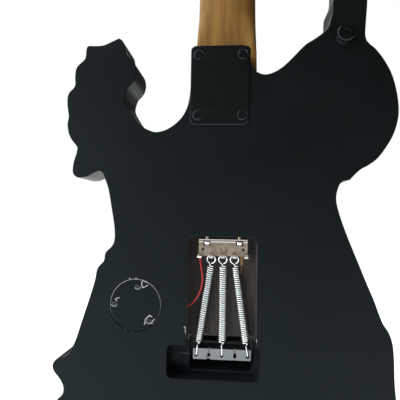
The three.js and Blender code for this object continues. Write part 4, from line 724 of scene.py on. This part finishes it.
# LOCKING NUT. A steel shelf under three clamp blocks, each pressed on two strings by an Allen screw, plated
# black and screwed to the end of the fingerboard. The truss rod's bright end shows below it.
set_plated(soften(copy_of("locking_nut", "locking_nut_blocks"), 0.4, over=40), "guitar", "locking_nut")
rod = soften(copy_of("truss_rod", "truss_rod_bar"), over=50)
set_on(rod, "guitar", spring_wire, "plain_steel", "truss_rod")


# PICKUP. A humbucker of two black bobbins with a row of six steel slugs and a row of six screws, hung by two
# height screws in a moulded black ring that four small screws hold to the front. Its ABS has a fine, matt skin.
black_abs, tree, shader, space = start_material("moulded black ABS", IOR=1.52, Specular_IOR_Level=0.35)
mottle(tree, shader, space, 0.7, ("#0d1012", "#15191b"), (0.42, 0.55), (0.15, 0.03), Detail=2.0)
PICKUP_Z, BOBBIN_SHIFT, EAR_X, SLOT_WIDTH = -103, 9.2, 39.4, 0.7
NUT_SPREAD, BRIDGE_SPREAD = 35, 53.5  # between the outer strings
POLE_SPREAD = BRIDGE_SPREAD + (NUT_SPREAD - BRIDGE_SPREAD) * (PICKUP_Z - SADDLE_Z) / SCALE


def driver_slot(piece, x, z, low, floor):
    """Cuts a straight slot into a screw that faces -Y."""
    cut(piece, brick("cutter", (x - 3, low, z - SLOT_WIDTH / 2), (x + 3, floor, z + SLOT_WIDTH / 2)))


for row, offset, top in (("neck", BOBBIN_SHIFT, [(2.3, -52.5), (2.3, -53.1), (2.15, -53.2)]),
                         ("bridge", -BOBBIN_SHIFT, [(2.3, -52.5), (2.3, -53.3), (2.0, -53.5)])):
    z = PICKUP_Z + offset
    bobbin = slab(f"bobbin_{row}", rounded(-33.5, 33.5, z - 8.7, z + 8.7, 4), -53, -33.1)
    set_on(soften(bobbin, 0.6, steps=3, over=50), "guitar", black_abs, "black_plastic", "humbucker")
    for string in range(6):
        x = POLE_SPREAD * (0.5 - string / 5)
        pole = turned(f"pole_{row}_{string + 1}", top, (x, 0, z), sides=28)
        if row == "bridge":
            driver_slot(pole, x, z, -54, -53.15)
        set_on(soften(pole), "guitar", nickel_silver, "plain_steel")
for name, outline in (("pickup_foot", rounded(-34.6, 34.6, -121.3, -84.7, 2)),
                      ("pickup_ear_treble", rounded(34, 42, -107, -99, 1)),
                      ("pickup_ear_bass", rounded(-42, -34, -107, -99, 1))):
    set_on(soften(slab(name, outline, -35.2, -33)), "guitar", old_nickel, "plain_steel", "humbucker")
ring = slab("pickup_frame", rounded(-45.8, 45.8, -125.6, -80.4, 3), -47.1, -42.1)
soften(ring, 1.2, steps=4, over=60)
cut(ring, cutter(rounded(-35.3, 35.3, -122.2, -83.8, 2), -50, -40))
for side, x in (("treble", EAR_X), ("bass", -EAR_X)):
    screw = turned(f"height_screw_{side}", [(1.3, -33.2), (1.3, -47.2), (2.6, -47.2), (2.6, -47.9), (2.0, -48.6)],
                   (x, 0, PICKUP_Z), sides=32)
    driver_slot(screw, x, PICKUP_Z, -49, -48.1)
    set_plated(soften(screw), "guitar", "humbucker")
    cut(ring, cutter(circle(x, PICKUP_Z, 1.6, 24), -50, -40))
set_on(soften(ring, 0.2, over=50), "guitar", black_abs, "black_plastic", "pickup_ring")
for x in (41.9, -41.9):
    for z in (-121.8, -84.2):
        screw = turned(f"ring_screw_{'t' if x > 0 else 'b'}{'n' if z > PICKUP_Z else 's'}",
                       [(1.9, -46.6), (1.9, -47.3), (1.4, -47.9), (0.6, -48.1)], (x, 0, z), sides=28)
        set_plated(soften(screw, over=50), "guitar")


# CONTROLS. A volume pot hangs in a round cavity under a black plastic disc, which three small screws hold to
# ears in the wood. Its metal knob is on the front, and the output jack is in the edge of the tail.
disc = soften(slab("cover_disc", circle(*COVER, 22.2, 96), -1.8, 0), 0.3, over=50)
cover_places = [(72.4, -92.0), (92.8, -107.2), (62.1, -121.0)]
for x, z in cover_places:
    cut(disc, cutter(circle(x, z, 2.6, 32), -0.7, 3), cutter(circle(x, z, 1.6, 32), -4, 3))
soften(disc, over=40)

# Plastic disc, cut from sheet and scuffed: satin black with pale scratches beside the screws, a painted highlight in
# a crescent under each one, and a rim worn pale at its upper side.
scuffed_sheet, tree, shader, space = start_material(
    "scuffed black plastic sheet", IOR=1.5, Specular_IOR_Level=0.15, Specular_Tint=colour("#bfe2e8"))
slips = drawn_lines(tree, space, [
    [(68.6, -86.8), (69.2, -90.1), (67.8, -93.2), (63.8, -91.0)], [(68.6, -86.8), (63.9, -88.6)],
    [(91.8, -103.5), (88.6, -102.1)], [(91.8, -103.5), (90.7, -105.0)],
    [(66.0, -124.2), (65.0, -119.6), (61.8, -116.5), (59.7, -117.7)], [(60.0, -122.2), (57.5, -119.6)],
    [(60.0, -122.2), (58.8, -123.9)]], 0.75)
# Painted highlights: a pale crescent under each screw, where the light catches its rim.
screw_glints = drawn_lines(tree, space, [[on_circle(spot, 2.7, turn) for turn in (-165, -130, -95, -60, -25)]
                                for spot in cover_places], 0.5)
flat = add_node(tree, "VectorMath", {"operation": "MULTIPLY", 1: (1, 0, 1)}, {0: space})
radius = add_node(tree, "VectorMath", {"operation": "DISTANCE", 1: (COVER[0] * MM, 0, COVER[1] * MM)}, {0: flat})
RIM_LINE, RIM_REACH = 21.95, 0.24
rim = add_node(tree, "Math", {"operation": "COMPARE", 1: RIM_LINE * MM, 2: RIM_REACH * MM}, {0: radius})
patches = add_node(tree, "TexNoise", {"Scale": 1 / (9 * MM), "Detail": 5.0, "Roughness": 0.7}, {"Vector": space})
height = add_node(tree, "SeparateXYZ", {}, {"Vector": space})
WEAR_RISE, WEAR_LEVEL = 40.0, 4.9  # how much the wear grows in a metre upwards, and its level at Z 0
worn = add_node(tree, "Math", {"operation": "MULTIPLY_ADD", 1: WEAR_RISE, 2: WEAR_LEVEL}, {0: height.outputs["Z"]})
worn_in = add_node(tree, "Math", {"operation": "ADD"}, {0: worn, 1: patches})
scuffed = add_node(tree, "MapRange", {"From Min": 0.5, "From Max": 1.6, "To Max": 0.75}, {"Value": worn_in})
scuff = add_node(tree, "Math", {"operation": "MULTIPLY"}, {0: rim, 1: scuffed})
# The disc's tone: pale scratches and rim wear, and the painted highlights under the screws.
scratch_and_glint_tone = add_node(tree, "Mix", {"data_type": "RGBA", "A": colour("#0d1011"), "B": colour("#d3d8d8")},
                      {"Factor": either_mask(tree, slips, screw_glints, scuff)})
mottle(tree, shader, space, 1.1, ("#0d1011", "#0d1011"), (0.42, 0.56), Detail=4.0, Roughness=0.7)
join(tree, shader, {"Base Color": scratch_and_glint_tone})
set_on(disc, "guitar", scuffed_sheet, "black_plastic", "control_cover")
for number, (x, z) in enumerate(cover_places, 1):
    screw = turned(f"cover_screw_{number}", [(1.2, -9), (1.2, -0.8), (2.3, -0.6), (2.3, -0.35), (1.6, -0.1)],
                   (x, 0, z), sides=28)
    cross_recess(screw, x, z, 0, 1.4, 0.5, 0.6, turn=0.6 * number)
    set_plated(soften(screw, over=40), "guitar")
pot = soften(copy_of("volume_pot", "pot_can"), 0.3, over=40)
set_on(pot, "guitar", old_nickel, "plain_steel", "volume_pot")
POT = (COVER[0], 0, COVER[1])
knob = turned("volume_knob_turned", [(9.0, -46.9), (9.4, -47.3), (9.4, -48.6), (8.9, -49.0), (8.4, -59.6),
                                     (8.1, -60.4), (7.4, -60.9)], POT, sides=72)
set_plated(soften(knob), "volume_knob", "volume_knob")
shaft = turned("volume_shaft", [(3, -37.6), (3, -47)], POT, sides=32)
set_on(soften(shaft), "volume_knob", spring_wire, "plain_steel", "volume_knob")

# Ivory paint, rubbed into the knob's engraved mark: a matt, slightly uneven cream.
ivory, tree, shader, space = start_material("ivory paint fill", Roughness=0.5)
mottle(tree, shader, space, 0.8, ("#cfcabb", "#e6e2d6"))
mark = slab("volume_mark", rounded(73.8, 74.6, -107, -101.2, 0.35), -60.92, -60.5)
set_on(mark, "volume_knob", ivory, "black_plated_steel")
sleeve = turned("jack_sleeve", [
    (9.8, 237), (9.8, 262.1), (12.4, 262.1), (12.4, 263.6), (11.8, 264.1), (6.9, 264.1), (6.7, 266.1), (6.0, 266.3)],
    turn=DOWNWARD, sides=64)
cut(sleeve, turned("cutter", [(3.3, 242), (3.3, 275)], turn=DOWNWARD, sides=40))
sleeve.data.transform(shift(JACK_X, JACK_Y, 0))
set_plated(soften(sleeve), "guitar", "output_jack")


# TUNERS. Six closed die-cast machine heads along the bass edge: a gear case behind the headstock, a hollow
# post that comes out of the front through a threaded sleeve, and a kidney-shaped button on the worm's shaft.
HEAD_TILT, POST_PITCH, FIRST_POST = math.radians(12), 25.4, 34
POST_WAIST, POST_TURN = 2.5, 2.8  # the post's radius in its waist, and the string's where it winds there
EDGE_ANGLE = math.atan2(NUT_SPREAD / 5, POST_PITCH)
GAUGES = [0.25, 0.33, 0.43, 0.66, 0.91, 1.17]
head_place = shift(0, GLUE_Y, NUT_Z + 16) @ Matrix.Rotation(-HEAD_TILT, 4, "X")


def post_place(string):
    """Where a string's post stands on the headstock, across and along it."""
    across = NUT_SPREAD / 2 - string * NUT_SPREAD / 5 - (POST_TURN + GAUGES[string] / 2)
    return across, FIRST_POST + (5 - string) * POST_PITCH


for string in range(6):
    x, along_head = post_place(string)
    local = head_place @ shift(x, 0, along_head) @ Matrix.Rotation(EDGE_ANGLE, 4, "Y")
    case = soften(slab(f"tuner_case_{string + 1}", rounded(-9, 7, -8.6, 8.6, 2.2), 14.1, 23.1), 1.4, 4, 50)
    sleeve = turned(f"tuner_sleeve_{string + 1}", [(4.8, 14.2), (4.8, 0.1), (4.8, -2.3), (4.3, -2.6)], sides=40)
    washer = turned(f"tuner_nut_{string + 1}", [(6.2, -0.1), (6.4, -0.4), (6.4, -1.9), (5.8, -2.3)], sides=6)
    for part in (sleeve, washer):
        cut(part, turned("cutter", [(3.3, -6), (3.3, 18)], sides=32))
        soften(part)
    post = turned(f"tuner_post_{string + 1}_turned", [
        (3, 17.4), (3, -2.4), (POST_WAIST, -2.8), (POST_WAIST, -11.2), (3, -11.6), (3, -14.6), (2.6, -15)], sides=40)
    cut(post, brick("cutter", (-0.7, -16, -4), (0.7, -12.6, 4)))
    soften(post, over=45)
    key = slab(f"tuner_key_{string + 1}", smooth_run([(-16.6 - out * 15, side * 8.5) for out, side in (
        (0, 0.42), (0.3, 0.92), (0.72, 0.96), (1, 0.4), (1, -0.4), (0.72, -0.96), (0.3, -0.92), (0, -0.42),
        (0, 0.42))]), -3.6, 3.6)
    soften(key, 1.6, steps=4, over=50)
    stem = soften(turned(f"tuner_stem_{string + 1}", [(1.9, 4.6), (1.9, 15.8), (2.9, 16.2), (2.9, 17.2)],
                         turn=Matrix.Rotation(-math.pi / 2, 4, "Y"), sides=28))
    key_place = local @ shift(0, 18.7, 3.6)
    for part, place, rides, node in (
            (case, local, "guitar", "tuner_housing"), (sleeve, local, "guitar", "tuner_housing"),
            (washer, local, "guitar", "tuner_housing"), (post, local, f"tuner_post_{string + 1}", "tuner_post"),
            (key, key_place, f"tuner_button_{string + 1}", "tuner_button"),
            (stem, key_place, f"tuner_button_{string + 1}", "tuner_button")):
        part.data.transform(place)
        set_plated(part, rides, f"{node}_{string + 1}")


# STRINGS. Three plain steel wires and three steel cores wound with nickel wire. Each is clamped in its
# saddle, runs over the fingerboard, is clamped again at the nut and winds on its post.
# Their winding is drawn as bands of 0.5 mm, coarser than the real one, so that it shows.
wound_wire, tree, shader, space = start_material("nickel wound string", Metallic=1.0, Roughness=0.35)
windings = add_node(tree, "TexWave", {"wave_type": "BANDS", "bands_direction": "Z", "Scale": 1 / (20 * 0.5 * MM)},
                    {"Vector": space})
wound_tone = add_node(tree, "ValToRGB", {"stops": ((0, "#77736b"), (1, "#c4c0b6"))}, {"Fac": windings})
ridges = add_node(tree, "Bump", {"Strength": 0.5, "Distance": 0.05 * MM}, {"Height": windings})
join(tree, shader, {"Base Color": wound_tone, "Normal": ridges})
SETBACKS = [0.5, 1.5, 2.6, 1.5, 2.5, 3.5]
SADDLE_CREST, NUT_FLOOR, STRAIGHT_FROM = -56.4, BOARD_TOP - 1.7, -60
RISE_STEPS, LAP_STEPS, LAP_Y = 8, 24, -7.4
for string, gauge in enumerate(GAUGES):
    spread, radius = 0.5 - string / 5, gauge / 2
    start = SADDLE_Z - SETBACKS[string]
    saddle_x, saddle_y, nut_y = BRIDGE_SPREAD * spread, SADDLE_CREST - radius, NUT_FLOOR - radius
    points = [(saddle_x, saddle_y, z) for z in (start - 5, start, start + 0.01)]
    for k in range(1, RISE_STEPS):
        z = start + (STRAIGHT_FROM - start) * k / RISE_STEPS
        share = (z - start) / (NUT_Z - start)
        points.append((spread * (BRIDGE_SPREAD + (NUT_SPREAD - BRIDGE_SPREAD) * share),
                       saddle_y + (nut_y - saddle_y) * share, z))
    points += [(NUT_SPREAD * spread, nut_y, NUT_Z), (NUT_SPREAD * spread, nut_y, NUT_Z + 16)]
    x, along_head = post_place(string)
    around = POST_TURN + radius
    for k in range(3 * LAP_STEPS // 4 + 1):  # three quarters of a lap round the post
        turn = 2 * math.pi * k / LAP_STEPS
        up = LAP_Y + (0.9 + gauge) * k / LAP_STEPS
        local = Vector(((x + around * math.cos(turn)) * MM, up * MM, (along_head + around * math.sin(turn)) * MM))
        points.append(tuple(c / MM for c in (head_place @ local)))
    wire = wire_along(f"string_{string + 1}_wire", points, radius, sides=2)
    wire.data.materials.append(wound_wire if string > 2 else spring_wire)
    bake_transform(wire)
    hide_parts(f"string_{string + 1}")

# The tip of the arm is a moulded sleeve pushed over the rod.
set_on(tip, "tremolo_arm", black_abs, "black_plated_steel", "tremolo_arm")


# STUDIO. A pale floor under a white sky. Two soft lamps stand at the treble side, low and level, a small weak
# one hangs high on that side and one lights the front. The camera is close behind the body.
FLOOR_SIZE = 4.0
bpy.ops.object.select_all(action="DESELECT")
bpy.ops.mesh.primitive_plane_add(size=FLOOR_SIZE, location=(0, 0, cad_box[0].z - 0.004))
floor = bpy.context.object
floor.name = "floor"
pale_floor, tree, shader, space = start_material(
    "pale matt floor", Base_Color=colour("#f2f2f2"), Roughness=0.9, Specular_IOR_Level=0.1,
    Emission_Color=(1, 1, 1, 1))
seen = add_node(tree, "LightPath")
direct = add_node(tree, "Math", {"operation": "MAXIMUM"},
                  {0: seen.outputs["Is Camera Ray"], 1: seen.outputs["Is Transmission Ray"]})
mirrored = add_node(tree, "Math", {"operation": "MULTIPLY", 1: 1.9}, {0: seen.outputs["Is Glossy Ray"]})
lift = add_node(tree, "Math", {"operation": "MULTIPLY_ADD", 1: 0.8}, {0: direct, 2: mirrored})
join(tree, shader, {"Emission Strength": lift})
floor.data.materials.append(pale_floor)

# The sky is white to the camera. What it sends to the object is strong from below, weak from above, a little
# stronger at the treble side, and brightest in a panel there.
world = bpy.data.worlds.new("white studio")
bpy.context.scene.world = world
world.use_nodes = True
sky = world.node_tree
seen = add_node(sky, "LightPath")
way = add_node(sky, "TexCoord")
climb = add_node(sky, "SeparateXYZ", {}, {"Vector": way.outputs["Generated"]})
level = add_node(sky, "Math", {"operation": "MULTIPLY_ADD", 1: 0.5, 2: 0.5}, {0: climb.outputs["Z"]})
dusk = add_node(sky, "ValToRGB", {}, {"Fac": level})
stops = dusk.color_ramp.elements
stops[0].color, stops[1].color = (1, 1, 1, 1), (0.035, 0.035, 0.035, 1)
for place, grey in ((0.33, 0.95), (0.42, 0.38), (0.5, 0.11), (0.64, 0.04)):
    stops.new(place).color = (grey, grey, grey, 1)
side = add_node(sky, "MapRange", {"From Min": -0.5, "From Max": -0.1, "To Min": 1.2, "To Max": 3.0},
                {"Value": climb.outputs["X"]})
panel = add_node(sky, "MapRange", {"From Min": 0.42, "From Max": 0.62, "To Max": 1.5},
                 {"Value": climb.outputs["X"]})
lit = add_node(sky, "Math", {"operation": "MULTIPLY_ADD"}, {0: dusk, 1: side, 2: panel})
strength = add_node(sky, "Mix", {"data_type": "FLOAT", "B": 1.0},
                    {"Factor": seen.outputs["Is Camera Ray"], "A": lit})
background = sky.nodes["Background"]
background.inputs["Color"].default_value = (1, 1, 1, 1)
join(sky, background, {"Strength": strength})


def soft_lamp(name, place, size, power):
    """A square lamp that looks at the middle of the body."""
    lamp = bpy.data.lights.new(name, "AREA")
    lamp.size, lamp.energy = size, power
    holder = bpy.data.objects.new(name, lamp)
    bpy.context.collection.objects.link(holder)
    holder.location = place
    holder.rotation_euler = (-Vector(place)).to_track_quat("-Z", "Y").to_euler()


soft_lamp("low treble lamp", (0.3, 1.0, -0.75), 0.9, 15)
soft_lamp("treble softbox", (0.95, 0.8, 0.0), 0.7, 6)
soft_lamp("high treble lamp", (0.5, 1.1, 0.75), 0.35, 1.5)
soft_lamp("front lamp", (0.2, -1.2, 1.5), 1.2, 12)

# The photograph's view: 38.7 mm lens, 366 mm behind the back face, turned 4.8 degrees, tipped 2.2, rolled 0.9.
YAW, PITCH, ROLL = (math.radians(a) for a in (4.8, 2.2, 0.9))
EYE, LENS, FILM = (-0.01073, 0.366, -0.03142), 38.7, 36
forward = Vector((math.sin(YAW), -math.cos(YAW), 0))
forward = (forward * math.cos(PITCH) + Vector((0, 0, math.sin(PITCH)))).normalized()
right = forward.cross(Vector((0, 0, 1))).normalized()
up = right.cross(forward)
right, up = (right * math.cos(ROLL) + up * math.sin(ROLL), up * math.cos(ROLL) - right * math.sin(ROLL))
camera = bpy.data.objects.new("camera", bpy.data.cameras.new("camera"))
bpy.context.collection.objects.link(camera)
camera.data.sensor_width, camera.data.lens = FILM, LENS
camera.matrix_world = Matrix.Translation(EYE) @ Matrix((right, up, -forward)).transposed().to_4x4()
bpy.context.scene.camera = camera
bpy.context.scene.view_settings.view_transform = "Standard"
